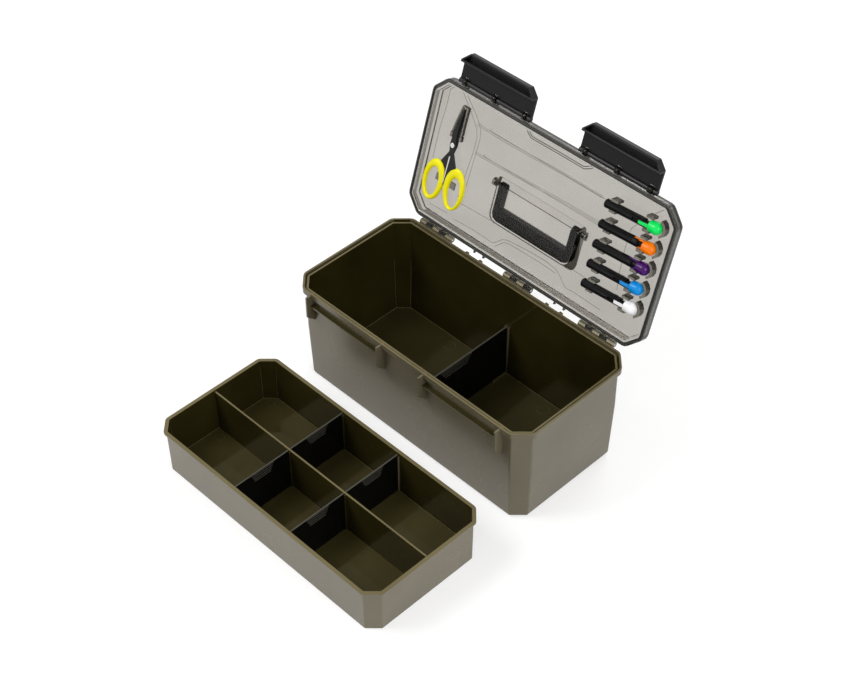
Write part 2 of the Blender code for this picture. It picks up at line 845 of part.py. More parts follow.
def blade_lean(y):
    """How far the curved blades stand to one side at a distance from the rivet."""
    return -BLADE_LEAN * (max(y, 0) / BLADE_LENGTH) ** 2


def holster_side(wall):
    """Both sides of the holster from its mouth to its end, as (x, x, y) stations."""
    end_y = BLADE_LENGTH + HOLSTER_AIR + wall
    stations = []
    for step in range(HOLSTER_STEPS + 1):
        share = step / HOLSTER_STEPS
        y = HOLSTER_START + (end_y - HOLSTER_START) * share
        half = HOLSTER_START_HALF + (HOLSTER_END_HALF - HOLSTER_START_HALF) * share
        half += HOLSTER_AIR + wall
        stations.append((blade_lean(y) + half, blade_lean(y) - half, y))
    return stations


def scissors_holders():
    """Holster, blade clips and ring posts, in the scissors' frame."""
    root = PANEL_UNDER + BITE - (LID_FACE + SCISSORS_DEPTH)
    inner = holster_side(0)
    outer = holster_side(HOLSTER_WALL)
    holster = [(x, y) for x, _, y in outer] + [(x, y) for _, x, y in reversed(outer)]
    holster += [(x, y) for _, x, y in inner] + [(x, y) for x, _, y in reversed(inner)]
    shapes = [prism_z(holster, -HOLSTER_TALL, root)]
    clip_x = BLADE_WIDTH / 2 + BLADE_CLIP_AIR
    post_x = GRIP_X - GRIP_HALF_WIDTH + GRIP_TUBE + POST_AIR
    for side in (-1, 1):
        shapes.append(
            block(
                (side * clip_x, side * (clip_x + BLADE_CLIP_WIDTH)),
                (BLADE_CLIP_Y, BLADE_CLIP_Y + BLADE_CLIP_LENGTH),
                (-HOLSTER_TALL, root),
            )
        )
        shapes.append(
            block(
                (side * post_x, side * (post_x + POST_WIDTH)),
                (POST_Y - POST_LENGTH / 2, POST_Y + POST_LENGTH / 2),
                (POST_TALL, root),
            )
        )
    return shapes


def relief_grooves():
    """Cutters for the long grooves on the lid's outside."""
    return [
        block(
            (-RELIEF_LENGTH / 2, RELIEF_LENGTH / 2),
            (place - RELIEF_WIDTH / 2, place + RELIEF_WIDTH / 2),
            (LID_TOP - RELIEF_DEPTH, LID_TOP + OVERRUN),
        )
        for place in RELIEF_PLACES
    ]


def make_lid(material):
    """Lid with its pocket, hinge knuckles, lugs and the holders inside it."""
    item = to_object(lid_shell())
    join(item, pocket_body())
    join(item, *trunnion_bosses())
    cut(item, pocket_hollow(), *relief_grooves())
    cut(item, *trunnion_holes())
    join(item, *hinge_knuckles(1, 1), *latch_lugs(), *lid_legs())
    cut(item, *hinge_bores(), *[latch_bore(side) for _, side in LATCH_SIDES])
    clips = [
        moved(shape, tool_matrix(number))
        for number in range(TOOL_COUNT)
        for shape in tool_clips()
    ]
    holders = [moved(shape, scissors_matrix()) for shape in scissors_holders()]
    join(item, *clips, *holders)
    return finish(item, "lid", material, lid_origin())


def lid_origin():
    """Point on the hinge axis that the lid turns about."""
    return (0.0, HINGE_Y, HINGE_Z)


def on_lid(item, name, material, lid, origin):
    """Finish a piece that the lid carries, given in the closed lid's frame."""
    return finish(item, name, material, origin, lid, lid_origin())


def make_seal(material, lid):
    """Rubber seal with two beads in the lid's channel."""
    top = LID_FACE + SEAL_HEIGHT
    profile = [
        (SEAL_IN, LID_FACE),
        (SEAL_IN + SEAL_BEAD, LID_FACE),
        (SEAL_IN + SEAL_BEAD, LID_FACE + SEAL_GROOVE),
        (SEAL_OUT - SEAL_BEAD, LID_FACE + SEAL_GROOVE),
        (SEAL_OUT - SEAL_BEAD, LID_FACE),
        (SEAL_OUT, LID_FACE),
        (SEAL_OUT, top),
        (SEAL_IN, top),
    ]
    shape = ring_body([mouth_ring(offset, height) for offset, height in profile])
    on_lid(to_object(shape), "lid_seal", material, lid, (0.0, 0.0, LID_FACE))


def make_hinge_pins(material):
    """One steel pin in each group of knuckles."""
    for name, middle, count in HINGE_GROUPS:
        half = (count * KNUCKLE_PITCH - GAP) / 2
        shape = rod_x(middle - half, middle + half, PIN_RADIUS, HINGE_Y, HINGE_Z)
        finish(to_object(shape), "hinge_pin_" + name, material, (middle, HINGE_Y, HINGE_Z))


# Latches


def latch_outline():
    """Side view of an opened latch around its pin, as (y, z) points."""
    inner = -LATCH_INSIDE
    start = math.degrees(math.asin(LATCH_INSIDE / LATCH_BARREL)) - 180
    end = 180 - math.degrees(math.asin(LATCH_OUTSIDE / LATCH_BARREL))
    points = arc(0, 0, LATCH_BARREL, start, end, KNUCKLE_STEPS)
    points += [
        (-LATCH_LENGTH, LATCH_OUTSIDE),
        (-LATCH_LENGTH, inner - LATCH_RIM_HEIGHT),
        (-HOOK_START, inner - HOOK_HEIGHT),
        (-HOOK_START, inner),
    ]
    return [(LATCH_PIN_Y + y, LATCH_PIN_Z + z) for y, z in points]


def latch_trough(side):
    """Cutter for the trough between a latch's hook and the walls of its tip."""
    centre = side * LATCH_CENTRE
    half = LATCH_WIDTH / 2 - LATCH_RIM_WIDTH
    corner = LATCH_TIP_CUT - LATCH_RIM_WIDTH * CUT_GROWTH
    near = LATCH_PIN_Y - HOOK_START - HOOK_THICKNESS
    far = LATCH_PIN_Y - LATCH_LENGTH + LATCH_RIM_WIDTH
    near_half = min(half, half - corner + near - far)
    outline = [
        (centre - near_half, near),
        (centre - half + corner, far),
        (centre + half - corner, far),
        (centre + near_half, near),
    ]
    ceiling = LATCH_PIN_Z - LATCH_INSIDE
    return prism_z(outline, ceiling - HOOK_HEIGHT - OVERRUN, ceiling)


def latch_corners(side):
    """Cutters that slant the two corners at a latch's tip."""
    tip = LATCH_PIN_Y - LATCH_LENGTH
    low = LATCH_PIN_Z - LATCH_INSIDE - HOOK_HEIGHT - OVERRUN
    high = LATCH_PIN_Z + LATCH_BARREL + OVERRUN
    shapes = []
    for end in (-1, 1):
        edge = side * LATCH_CENTRE + end * LATCH_WIDTH / 2
        outline = [
            (edge - end * (LATCH_TIP_CUT + OVERRUN), tip - OVERRUN),
            (edge + end * OVERRUN, tip - OVERRUN),
            (edge + end * OVERRUN, tip + LATCH_TIP_CUT + OVERRUN),
        ]
        shapes.append(prism_z(outline, low, high))
    return shapes


def latch_notches(side):
    """Cutters that let a latch turn around the lid's lugs."""
    half = LUG_WIDTH / 2 + LUG_NOTCH_AIR
    reach = LATCH_BARREL + OVERRUN
    return [
        block(
            (place - half, place + half),
            (LATCH_PIN_Y - LUG_NOTCH_DEPTH, LATCH_PIN_Y + reach),
            (LATCH_PIN_Z - reach, LATCH_PIN_Z + reach),
        )
        for place in lug_places(side)
    ]


def make_latch(name, side, material, pin_material, lid):
    """Wide latch with its hook, and its steel pin."""
    centre = side * LATCH_CENTRE
    half = LATCH_WIDTH / 2
    pin_half = LUG_SPACING + LUG_WIDTH / 2
    origin = (centre, LATCH_PIN_Y, LATCH_PIN_Z)
    item = to_object(prism_x(latch_outline(), centre - half, centre + half))
    cut(item, *latch_corners(side))
    cut(item, latch_trough(side))
    cut(item, *latch_notches(side))
    cut(item, latch_bore(side))
    on_lid(item, "latch_" + name, material, lid, origin)
    pin = rod_x(centre - pin_half, centre + pin_half, PIN_RADIUS, LATCH_PIN_Y, LATCH_PIN_Z)
    on_lid(to_object(pin), "latch_pin_" + name, pin_material, lid, origin)


# Handle


def make_handle(material, lid):
    """U-shaped carry handle with round eyes and trunnions at its arms' ends."""
    outer_x = HANDLE_LENGTH / 2
    inner_x = outer_x - HANDLE_ARM
    far_y = HANDLE_PIVOT_Y + HANDLE_REACH
    near_y = far_y - HANDLE_GRIP
    corner = HANDLE_CORNER
    outline = [(outer_x, HANDLE_PIVOT_Y)]
    outline += arc(outer_x - corner, far_y - corner, corner, 0, 90, FILLET_STEPS)
    outline += arc(corner - outer_x, far_y - corner, corner, 90, 180, FILLET_STEPS)
    outline += [
        (-outer_x, HANDLE_PIVOT_Y),
        (-inner_x, HANDLE_PIVOT_Y),
        (-inner_x, near_y),
        (inner_x, near_y),
        (inner_x, HANDLE_PIVOT_Y),
    ]
    half = HANDLE_THICKNESS / 2
    item = to_object(prism_z(outline, HANDLE_PIVOT_Z - half, HANDLE_PIVOT_Z + half))
    eyes = []
    for end in (-1, 1):
        profile = (
            (inner_x + HANDLE_EYE_DROP, half - HANDLE_EYE_DROP),
            (outer_x - HANDLE_EYE_DROP, half - HANDLE_EYE_DROP),
            (outer_x - HANDLE_EYE_DROP, TRUNNION_RADIUS),
            (outer_x + TRUNNION_LENGTH, TRUNNION_RADIUS),
        )
        rings = [circle_x(end * x, r, HANDLE_PIVOT_Y, HANDLE_PIVOT_Z) for x, r in profile]
        eyes.append(loft(rings))
    join(item, *eyes)
    on_lid(item, "handle", material, lid, (0.0, HANDLE_PIVOT_Y, HANDLE_PIVOT_Z))


# Tray


def tray_half_depth(height):
    """Half depth of the tray's inside at a height."""
    top = MOUTH_DEPTH / 2 - TRAY_FRONT_CLEARANCE - TRAY_WALL
    return top - TRAY_DRAFT * (TRAY_HEIGHT - height) / TRAY_HEIGHT


def tray_ring(offset, height):
    """Octagon of the tray's outer wall, grown by an offset, at a height."""
    outline = octagon(
        MOUTH_LENGTH / 2 - TRAY_SIDE_CLEARANCE + offset,
        MOUTH_DEPTH / 2 - TRAY_FRONT_CLEARANCE + offset,
        TRAY_CUT + offset * CUT_GROWTH,
        max(CORNER_RADIUS + TRAY_WALL + offset, LEAST_RADIUS),
    )
    return [(x, y, height) for x, y in outline]


def tray_shell():
    """Shallow shell with an outward flange."""
    flange_under = TRAY_HEIGHT - TRAY_FLANGE
    inner_low = -TRAY_DRAFT - TRAY_WALL
    profile = arc(-TRAY_DRAFT - TRAY_FILLET, TRAY_FILLET, TRAY_FILLET, 270, 360, FILLET_STEPS)
    profile += [
        (0, flange_under),
        (TRAY_OVERHANG, flange_under),
        (TRAY_OVERHANG, TRAY_HEIGHT),
        (-TRAY_WALL, TRAY_HEIGHT),
    ]
    profile += arc(
        inner_low - TRAY_FILLET, TRAY_FLOOR + TRAY_FILLET, TRAY_FILLET, 0, -90, FILLET_STEPS
    )
    return loft([tray_ring(offset, height) for offset, height in profile])


def tray_rib():
    """Fixed rib along the tray's middle."""
    half = MOUTH_LENGTH / 2 - TRAY_SIDE_CLEARANCE - TRAY_DRAFT - TRAY_BITE
    return block(
        (-half, half),
        (-TRAY_RIB / 2, TRAY_RIB / 2),
        (TRAY_FLOOR - TRAY_BITE, TRAY_HEIGHT - TRAY_RIB_DROP),
    )


def tray_slots():
    """Short ribs on the walls and the middle rib that hold the tray's dividers."""
    low = TRAY_FLOOR - TRAY_BITE
    top = TRAY_HEIGHT - TRAY_SLOT_DROP
    rib_y = tray_half_depth(0) - TRAY_SLOT_DEPTH
    at_wall = [
        (tray_half_depth(low) + TRAY_BITE, low),
        (tray_half_depth(top) + TRAY_BITE, top),
        (rib_y, top),
        (rib_y, low),
    ]
    inner_y = TRAY_RIB / 2 - TRAY_BITE
    outer_y = TRAY_RIB / 2 + TRAY_SLOT_DEPTH
    at_rib = [(inner_y, low), (outer_y, low), (outer_y, top), (inner_y, top)]
    near = TRAY_DIVIDER_THICKNESS / 2 + GAP
    shapes = []
    for x_side in (-1, 1):
        for y_side in (-1, 1):
            for end in (-1, 1):
                start = x_side * TRAY_DIVIDER_X + end * near
                limits = sorted((start, start + end * TRAY_SLOT_RIB))
                for outline in (at_wall, at_rib):
                    side_outline = [(y_side * y, z) for y, z in outline]
                    shapes.append(prism_x(side_outline, *limits))
    return shapes


def tray_origin():
    """Centre of the tray's base."""
    return (TRAY_X, TRAY_Y, 0.0)


def make_tray(material):
    """Tray with its middle rib and divider slots."""
    item = to_object(tray_shell())
    join(item, tray_rib())
    join(item, *tray_slots())
    item.data.transform(Matrix.Translation(tray_origin()))
    return finish(item, "tray", material, tray_origin())


# Dividers


def grip_bars(length, top, face, middle_y):
    """Raised bars near a divider's top edge, shorter towards the bottom."""
    shapes = []
    for number in range(GRIP_BARS):
        half = length / 2 * (1 - GRIP_TAPER_SHARE * number)
        upper = top - GRIP_BAR - number * GRIP_PITCH
        shapes.append(
            block(
                (face - GRIP_RAISE, face + GRIP_RAISE),
                (middle_y - half, middle_y + half),
                (upper - GRIP_BAR, upper),
            )
        )
    return shapes


def divider_plate(outline, thickness, grip_length, grip_y):
    """Thin plate across X with a ribbed grip on its +X face."""
    item = to_object(prism_x(outline, -thickness / 2, thickness / 2))
    top = max(z for _, z in outline)
    join(item, *grip_bars(grip_length, top, thickness / 2, grip_y))
    return item


def make_box_divider(material):
    """Divider that stands across the box."""
    low = FLOOR + GAP
    top = box_divider_top()
    low_y = inner_wall_y(FLOOR) - GAP
    top_y = inner_wall_y(top) - GAP
    corner = BOX_DIVIDER_CORNER
    outline = [
        (corner - low_y, low),
        (low_y - corner, low),
        (low_y, low + corner),
        (top_y, top),
        (-top_y, top),
        (-low_y, low + corner),
    ]
    item = divider_plate(outline, DIVIDER_THICKNESS, BOX_GRIP_LENGTH, BOX_GRIP_Y)
    item.data.transform(Matrix.Translation((BOX_DIVIDER_X, 0, 0)))
    finish(item, "box_divider", material, (BOX_DIVIDER_X, 0.0, low))


def make_tray_divider(name, x_side, y_side, material, tray):
    """Divider between the tray's middle rib and its front or back wall."""
    low = TRAY_FLOOR + GAP
    top = TRAY_HEIGHT - TRAY_RIB_DROP
    inner = TRAY_RIB / 2 + GAP
    low_y = tray_half_depth(0) - GAP
    top_y = tray_half_depth(top) - GAP
    corner = TRAY_DIVIDER_CORNER
    outline = [
        (inner, low),
        (low_y - corner, low),
        (low_y, low + corner),
        (top_y, top),
        (inner, top),
    ]
    middle = y_side * (inner + top_y) / 2
    outline = [(y_side * y, z) for y, z in outline]
    item = divider_plate(outline, TRAY_DIVIDER_THICKNESS, TRAY_GRIP_LENGTH, middle)
    place = Vector(tray_origin()) + Vector((x_side * TRAY_DIVIDER_X, 0, 0))
    item.data.transform(Matrix.Translation(place))
    finish(item, name, material, place + Vector((0, middle, low)), tray, tray_origin())


# Lid tools


def tool_slots():
    """Cutters for the two slots that the knob's tongues slide in."""
    start = BARREL_LENGTH - TONGUE_ENTRY - PLUNGER_TRAVEL - GAP
    half = TONGUE_WIDTH / 2 + GAP
    return [
        block(
            (start, BARREL_LENGTH + OVERRUN),
            (side * CORE_RADIUS, side * (BARREL_RADIUS + OVERRUN)),
            (-half, half),
        )
        for side in (-1, 1)
    ]


def barrel_shape():
    """Turned barrel with its thin rear core and the needle's bore."""
    core_end = BARREL_LENGTH + CORE_LENGTH
    bore = NEEDLE_RADIUS + GAP
    profile = (
        (0, BARREL_RADIUS - BARREL_CHAMFER),
        (BARREL_CHAMFER, BARREL_RADIUS),
        (BARREL_LENGTH, BARREL_RADIUS),
        (BARREL_LENGTH, CORE_RADIUS),
        (core_end, CORE_RADIUS),
        (core_end, bore),
        (0, bore),
    )
    return ring_body([circle_x(x, radius, sides=TOOL_SIDES) for x, radius in profile])


def ball_shape():
    """Domed knob: its sleeve slides over the barrel's end, and its socket over the core."""
    socket = CORE_RADIUS + GAP
    mouth = BARREL_RADIUS + GAP
    mouth_end = BARREL_LENGTH + PLUNGER_TRAVEL + GAP
    back_angle = 180 / (2 * BALL_RINGS)
    outline = arc(BALL_X, 0, BALL_RADIUS, back_angle, 90, BALL_RINGS)
    outline += [
        (BALL_X - SLEEVE_LENGTH, SLEEVE_RADIUS),
        (BALL_X - SLEEVE_LENGTH, mouth),
        (mouth_end, mouth),
        (mouth_end, socket),
        (BALL_X + BALL_RADIUS - SOCKET_WALL, socket),
    ]
    return loft([circle_x(x, radius, sides=TOOL_SIDES) for x, radius in outline])


def tongue_shapes():
    """Two tongues that reach from the ball into the barrel's slots."""
    start = BARREL_LENGTH - TONGUE_ENTRY
    end = BALL_X - BALL_RADIUS / 2
    return [
        block(
            (start, end),
            (side * (CORE_RADIUS + GAP), side * BARREL_RADIUS),
            (-TONGUE_WIDTH / 2, TONGUE_WIDTH / 2),
        )
        for side in (-1, 1)
    ]


def make_tool(number, barrel_material, needle_material, lid):
    """One lid tool: barrel, ball knob and needle."""
    roll = Matrix.Rotation(math.radians(TOOL_ROLL_DEGREES[number]), 4, "X")
    place = tool_matrix(number) @ roll
    origin = place.translation
    name = "tool_" + str(number + 1)
    colour = TOOL_COLOURS[number]

    barrel = to_object(barrel_shape())
    cut(barrel, *tool_slots())

    knob = to_object(ball_shape())
    join(knob, *tongue_shapes())

    needle_end = BALL_X + BALL_RADIUS - SOCKET_WALL - GAP
    needle = to_object(rod_x(-NEEDLE_TIP, needle_end, NEEDLE_RADIUS))

    pieces = (
        (barrel, "_barrel", barrel_material),
        (knob, "_knob", make_material(name + "_colour", colour, 0.25)),
        (needle, "_needle", needle_material),
    )
    for item, ending, material in pieces:
        item.data.transform(place)
        on_lid(item, name + ending, material, lid, origin)


# Scissors


def tang_points(air):
    """Outline of the tang below the crossing, from inside to outside, with air around it."""
    inner = [(TANG_AIR - air, y * TANG_LENGTH) for y in TANG_INNER_SHARES]
    outer = [(x * TANG_WIDTH + air, y * TANG_LENGTH + air) for x, y in TANG_SHARES[1:]]
    foot = TANG_SHARES[0]
    inner[-1] = (inner[-1][0], inner[-1][1] - air)
    return inner + [(foot[0] * TANG_WIDTH + air, foot[1] * TANG_LENGTH - air)] + outer


def blade_shape(side, low):
    """Blade with its tang, whose handle end lies on the given side."""
    outline = [(x * BLADE_WIDTH, y * BLADE_LENGTH) for x, y in BLADE_SHARES]
    outline += tang_points(0)
    outline += [(x * BLADE_WIDTH, y * BLADE_LENGTH) for x, y in BLADE_BACK_SHARES]
    outline = [(side * x + blade_lean(y), y) for x, y in outline]
    return prism_z(outline, low, low + BLADE_THICKNESS)


def blade_low(side):
    """Height of each blade's lower face in the scissors' frame."""
    return GAP / 2 if side > 0 else -GAP / 2 - BLADE_THICKNESS


def rod_z(radius, low, high):
    """Round rod along Z at the rivet."""
    return prism_z(arc(0, 0, radius, 0, 360, PIN_SIDES)[:-1], low, high)


def ellipse(half_x, half_y, height):
    """Ring of points of a grip's ellipse."""
    points = []
    for step in range(GRIP_SIDES):
        angle = 2 * math.pi * step / GRIP_SIDES
        points.append((half_x * math.cos(angle), half_y * math.sin(angle), height))
    return points


def grip_ring():
    """Flat finger ring around its own centre."""
    half = GRIP_THICKNESS / 2
    inner_x = GRIP_HALF_WIDTH - GRIP_TUBE
    inner_y = GRIP_HALF_LENGTH - GRIP_TUBE
    return ring_body(
        [
            ellipse(GRIP_HALF_WIDTH, GRIP_HALF_LENGTH, -half),
            ellipse(GRIP_HALF_WIDTH, GRIP_HALF_LENGTH, half),
            ellipse(inner_x, inner_y, half),
            ellipse(inner_x, inner_y, -half),
        ]
    )


def make_grip(side):
    """Finger ring with the slot that the blade's tang sits in."""
    turn = Matrix.Rotation(math.radians(side * GRIP_TILT_DEGREES), 4, "Z")
    middle = (side * GRIP_X, GRIP_Y - side * GRIP_STAGGER, 0)
    ring_place = Matrix.Translation(middle) @ turn
    low = blade_low(side) - GAP
    slot = [(side * x, y) for x, y in tang_points(GAP)]
    item = to_object(moved(grip_ring(), ring_place))
    cut(item, prism_z(slot, low, low + BLADE_THICKNESS + 2 * GAP))
    return item


def rivet_shape():
    """Rivet with a head on each side of the crossed blades."""
    reach = GAP / 2 + BLADE_THICKNESS + GAP
    head = reach + RIVET_HEAD_HEIGHT
    profile = (
        (-head, RIVET_HEAD_RADIUS),
        (-reach, RIVET_HEAD_RADIUS),
        (-reach, RIVET_RADIUS),
        (reach, RIVET_RADIUS),
        (reach, RIVET_HEAD_RADIUS),
        (head, RIVET_HEAD_RADIUS),
    )
    rings = []
    for height, radius in profile:
        points = arc(0, 0, radius, 0, 360, PIN_SIDES)[:-1]
        rings.append([(x, y, height) for x, y in points])
    return loft(rings)


def make_scissors(steel, grip_material, rivet_material, lid):
    """Two crossed blades, their finger rings and the rivet."""
    place = scissors_matrix()
    origin = place.translation
    hole = RIVET_RADIUS + GAP
    for name, side in (("left", 1), ("right", -1)):
        low = blade_low(side)
        blade = to_object(blade_shape(side, low))
        cut(blade, rod_z(hole, low - OVERRUN, low + BLADE_THICKNESS + OVERRUN))
        grip = make_grip(side)
        blade.data.transform(place)
        grip.data.transform(place)
        on_lid(blade, "scissors_blade_" + name, steel, lid, origin)
        on_lid(grip, "scissors_grip_" + name, grip_material, lid, origin)
    rivet = to_object(moved(rivet_shape(), place))
    on_lid(rivet, "scissors_rivet", rivet_material, lid, origin)


def main():
    clear_scene()
    olive = make_material("olive_plastic", (0.045, 0.037, 0.012), 0.2)
    smoke = make_material("smoke_plastic", (0.30, 0.29, 0.26), 0.15, alpha=0.4)
    black = make_material("black_plastic", (0.012, 0.012, 0.012), 0.4)
    rubber = make_material("black_rubber", (0.01, 0.01, 0.01), 0.7)
    steel = make_material("steel", (0.6, 0.6, 0.6), 0.3, metallic=1.0)
    coated = make_material("coated_steel", (0.01, 0.01, 0.01), 0.3, metallic=0.6)
    yellow = make_material("yellow_grip", (0.85, 0.72, 0.0), 0.35)

    make_box_body(olive)
    lid = make_lid(smoke)
    make_seal(rubber, lid)
    make_hinge_pins(steel)
    for name, side in LATCH_SIDES:
        make_latch(name, side, black, steel, lid)
    make_handle(black, lid)

    tray = make_tray(olive)
    make_box_divider(black)
    for y_name, y_side in (("front", -1), ("back", 1)):
        for x_name, x_side in (("left", -1), ("right", 1)):
            name = "tray_divider_" + y_name + "_" + x_name
            make_tray_divider(name, x_side, y_side, black, tray)

    for number in range(TOOL_COUNT):
        make_tool(number, black, steel, lid)
    make_scissors(coated, yellow, steel, lid)

    lid.rotation_euler.x = -math.radians(LID_OPEN_DEGREES)


main()
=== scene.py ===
"""Looks of the tackle box: finishes, rounded edges, moulded details, floor, light and camera."""

import json
import math

import bpy
from mathutils import Matrix, Vector


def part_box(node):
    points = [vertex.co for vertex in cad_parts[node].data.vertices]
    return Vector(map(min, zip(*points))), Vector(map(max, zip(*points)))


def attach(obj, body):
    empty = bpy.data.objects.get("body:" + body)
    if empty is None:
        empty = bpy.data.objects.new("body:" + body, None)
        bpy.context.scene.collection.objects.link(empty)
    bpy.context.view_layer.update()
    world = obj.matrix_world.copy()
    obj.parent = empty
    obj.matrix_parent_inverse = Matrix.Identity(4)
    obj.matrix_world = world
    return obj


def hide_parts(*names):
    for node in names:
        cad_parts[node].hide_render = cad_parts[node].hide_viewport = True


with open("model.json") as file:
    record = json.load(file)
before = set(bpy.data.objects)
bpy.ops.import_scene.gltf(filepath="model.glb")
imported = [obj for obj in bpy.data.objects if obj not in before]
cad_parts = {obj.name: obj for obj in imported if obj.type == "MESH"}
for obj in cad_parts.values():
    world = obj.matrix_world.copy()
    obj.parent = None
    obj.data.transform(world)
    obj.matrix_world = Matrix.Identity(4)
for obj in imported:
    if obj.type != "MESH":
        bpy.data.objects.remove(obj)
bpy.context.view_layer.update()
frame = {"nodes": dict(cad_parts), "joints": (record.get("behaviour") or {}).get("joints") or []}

# Camera
# A long lens looks down on the box's front right corner, as in the photograph.
# Its place and its turn were solved from the straight edges of box, tray and lid.
CAMERA_PLACE = (0.98799, -1.01512, 1.44382)
CAMERA_YAW = math.radians(45.62)
CAMERA_PITCH = math.radians(-43.73)
CAMERA_ROLL = math.radians(-0.38)
CAMERA_LENS = 76.99
SENSOR_WIDTH = 36

camera = bpy.data.objects.new("camera", bpy.data.cameras.new("camera"))
bpy.context.scene.collection.objects.link(camera)
camera.data.lens = CAMERA_LENS
camera.data.sensor_width = SENSOR_WIDTH
camera.matrix_world = (
    Matrix.Translation(CAMERA_PLACE)
    @ Matrix.Rotation(CAMERA_YAW, 4, "Z")
    @ Matrix.Rotation(math.pi / 2 + CAMERA_PITCH, 4, "X")
    @ Matrix.Rotation(CAMERA_ROLL, 4, "Z")
)
bpy.context.scene.camera = camera
bpy.context.scene.view_settings.view_transform = "Standard"

# Floor and light
# A pale sheet lies under the box in a white surround, and three large soft lamps light it.
# The sheet glows a little to the eye and in gloss, so that it is white and keeps the shadow.
FLOOR_SIZE = 8
FLOOR_COLOUR = (0.5, 0.5, 0.5, 1)
FLOOR_ROUGHNESS = 0.9
FLOOR_GLOW = 0.56
SURROUND_LIGHT = 0.42
WHITE = (1, 1, 1, 1)


def seen_by(tree, *kinds):
    """Socket that is 1 on the named kinds of ray, and 0 on the others."""
    path = tree.nodes.new("ShaderNodeLightPath")
    total = path.outputs[kinds[0]]
    for kind in kinds[1:]:
        either = tree.nodes.new("ShaderNodeMath")
        either.operation = "MAXIMUM"
        tree.links.new(total, either.inputs[0])
        tree.links.new(path.outputs[kind], either.inputs[1])
        total = either.outputs[0]
    return total


def white_on(tree, white_kind, output, shader, *kinds):
    """Show plain white on the named kinds of ray, and shader on the others."""
    white = tree.nodes.new(white_kind)
    white.inputs["Color"].default_value = WHITE
    mix = tree.nodes.new("ShaderNodeMixShader")
    tree.links.new(seen_by(tree, *kinds), mix.inputs["Fac"])
    tree.links.new(shader.outputs[0], mix.inputs[1])
    tree.links.new(white.outputs[0], mix.inputs[2])
    tree.links.new(mix.outputs[0], output.inputs["Surface"])


world = bpy.data.worlds.new("studio")
bpy.context.scene.world = world
world.use_nodes = True
studio = world.node_tree
background = studio.nodes["Background"]
background.inputs["Color"].default_value = WHITE
background.inputs["Strength"].default_value = SURROUND_LIGHT
white_on(
    studio,
    "ShaderNodeBackground",
    studio.nodes["World Output"],
    background,
    "Is Camera Ray",
    "Is Glossy Ray",
    "Is Transmission Ray",
)

bpy.ops.object.select_all(action="DESELECT")
bpy.ops.mesh.primitive_plane_add(size=FLOOR_SIZE)
floor = bpy.context.object
floor.name = "floor"
floor_paper = bpy.data.materials.new("floor_paper")
floor_paper.use_nodes = True
paper = floor_paper.node_tree
paper_shader = paper.nodes["Principled BSDF"]
paper_shader.inputs["Base Color"].default_value = FLOOR_COLOUR
paper_shader.inputs["Roughness"].default_value = FLOOR_ROUGHNESS
glow = paper.nodes.new("ShaderNodeEmission")
glow_amount = paper.nodes.new("ShaderNodeMath")
glow_amount.operation = "MULTIPLY"
glow_amount.inputs[1].default_value = FLOOR_GLOW
paper.links.new(seen_by(paper, "Is Camera Ray", "Is Glossy Ray"), glow_amount.inputs[0])
paper.links.new(glow_amount.outputs[0], glow.inputs["Strength"])
lit_paper = paper.nodes.new("ShaderNodeAddShader")
paper.links.new(paper_shader.outputs[0], lit_paper.inputs[0])
paper.links.new(glow.outputs[0], lit_paper.inputs[1])
paper_output = paper.nodes["Material Output"]
white_on(paper, "ShaderNodeEmission", paper_output, lit_paper, "Is Transmission Ray")
floor.data.materials.append(floor_paper)

# Name, place, width and power of each lamp.
LAMPS = (
    ("key_lamp", (-0.9, -1.1, 1.7), 1.1, 22),
    ("side_lamp", (1.5, -0.3, 1.0), 1.0, 14),
    ("back_lamp", (-0.4, 1.5, 1.3), 1.2, 12),
)
for name, place, width, power in LAMPS:
    lamp = bpy.data.objects.new(name, bpy.data.lights.new(name, "AREA"))
    lamp.data.shape = "DISK"
    lamp.data.size = width
    lamp.data.energy = power
    lamp.location = place
    lamp.rotation_euler = (-Vector(place)).to_track_quat("-Z", "Y").to_euler()
    bpy.context.scene.collection.objects.link(lamp)

# Box body
# One injection-moulded shell in dark olive plastic, fine-grained outside and polished inside.
# The hinge's knuckles stand behind its rim, and the latches close over rails in front.
BOX_OUTER_COLOUR = (0.1, 0.086, 0.052)
BOX_OUTER_TINT = (1.0, 0.9, 0.72)
BOX_INNER_COLOUR = (0.022, 0.0185, 0.0045)
BOX_INNER_TINT = (1.0, 0.86, 0.45)
BOX_FLOOR_LIT_COLOUR = (0.038, 0.032, 0.011)
BOX_RIM_HIGHLIGHT_COLOUR = (0.14, 0.115, 0.052)
JOINT_HIGHLIGHT_COLOUR = (0.12, 0.1, 0.045)
INNER_SHINE = 0.17
PLASTIC_IOR = 1.5
LEAST_ROUGHNESS = 0.02
PATCH_SCALE = 14
PATCH_DETAIL = 3
PATCH_DARKEST = 0.3
PATCH_PALEST = 0.7
GRAIN_SCALE = 2600
GRAIN_DEPTH = 0.0002


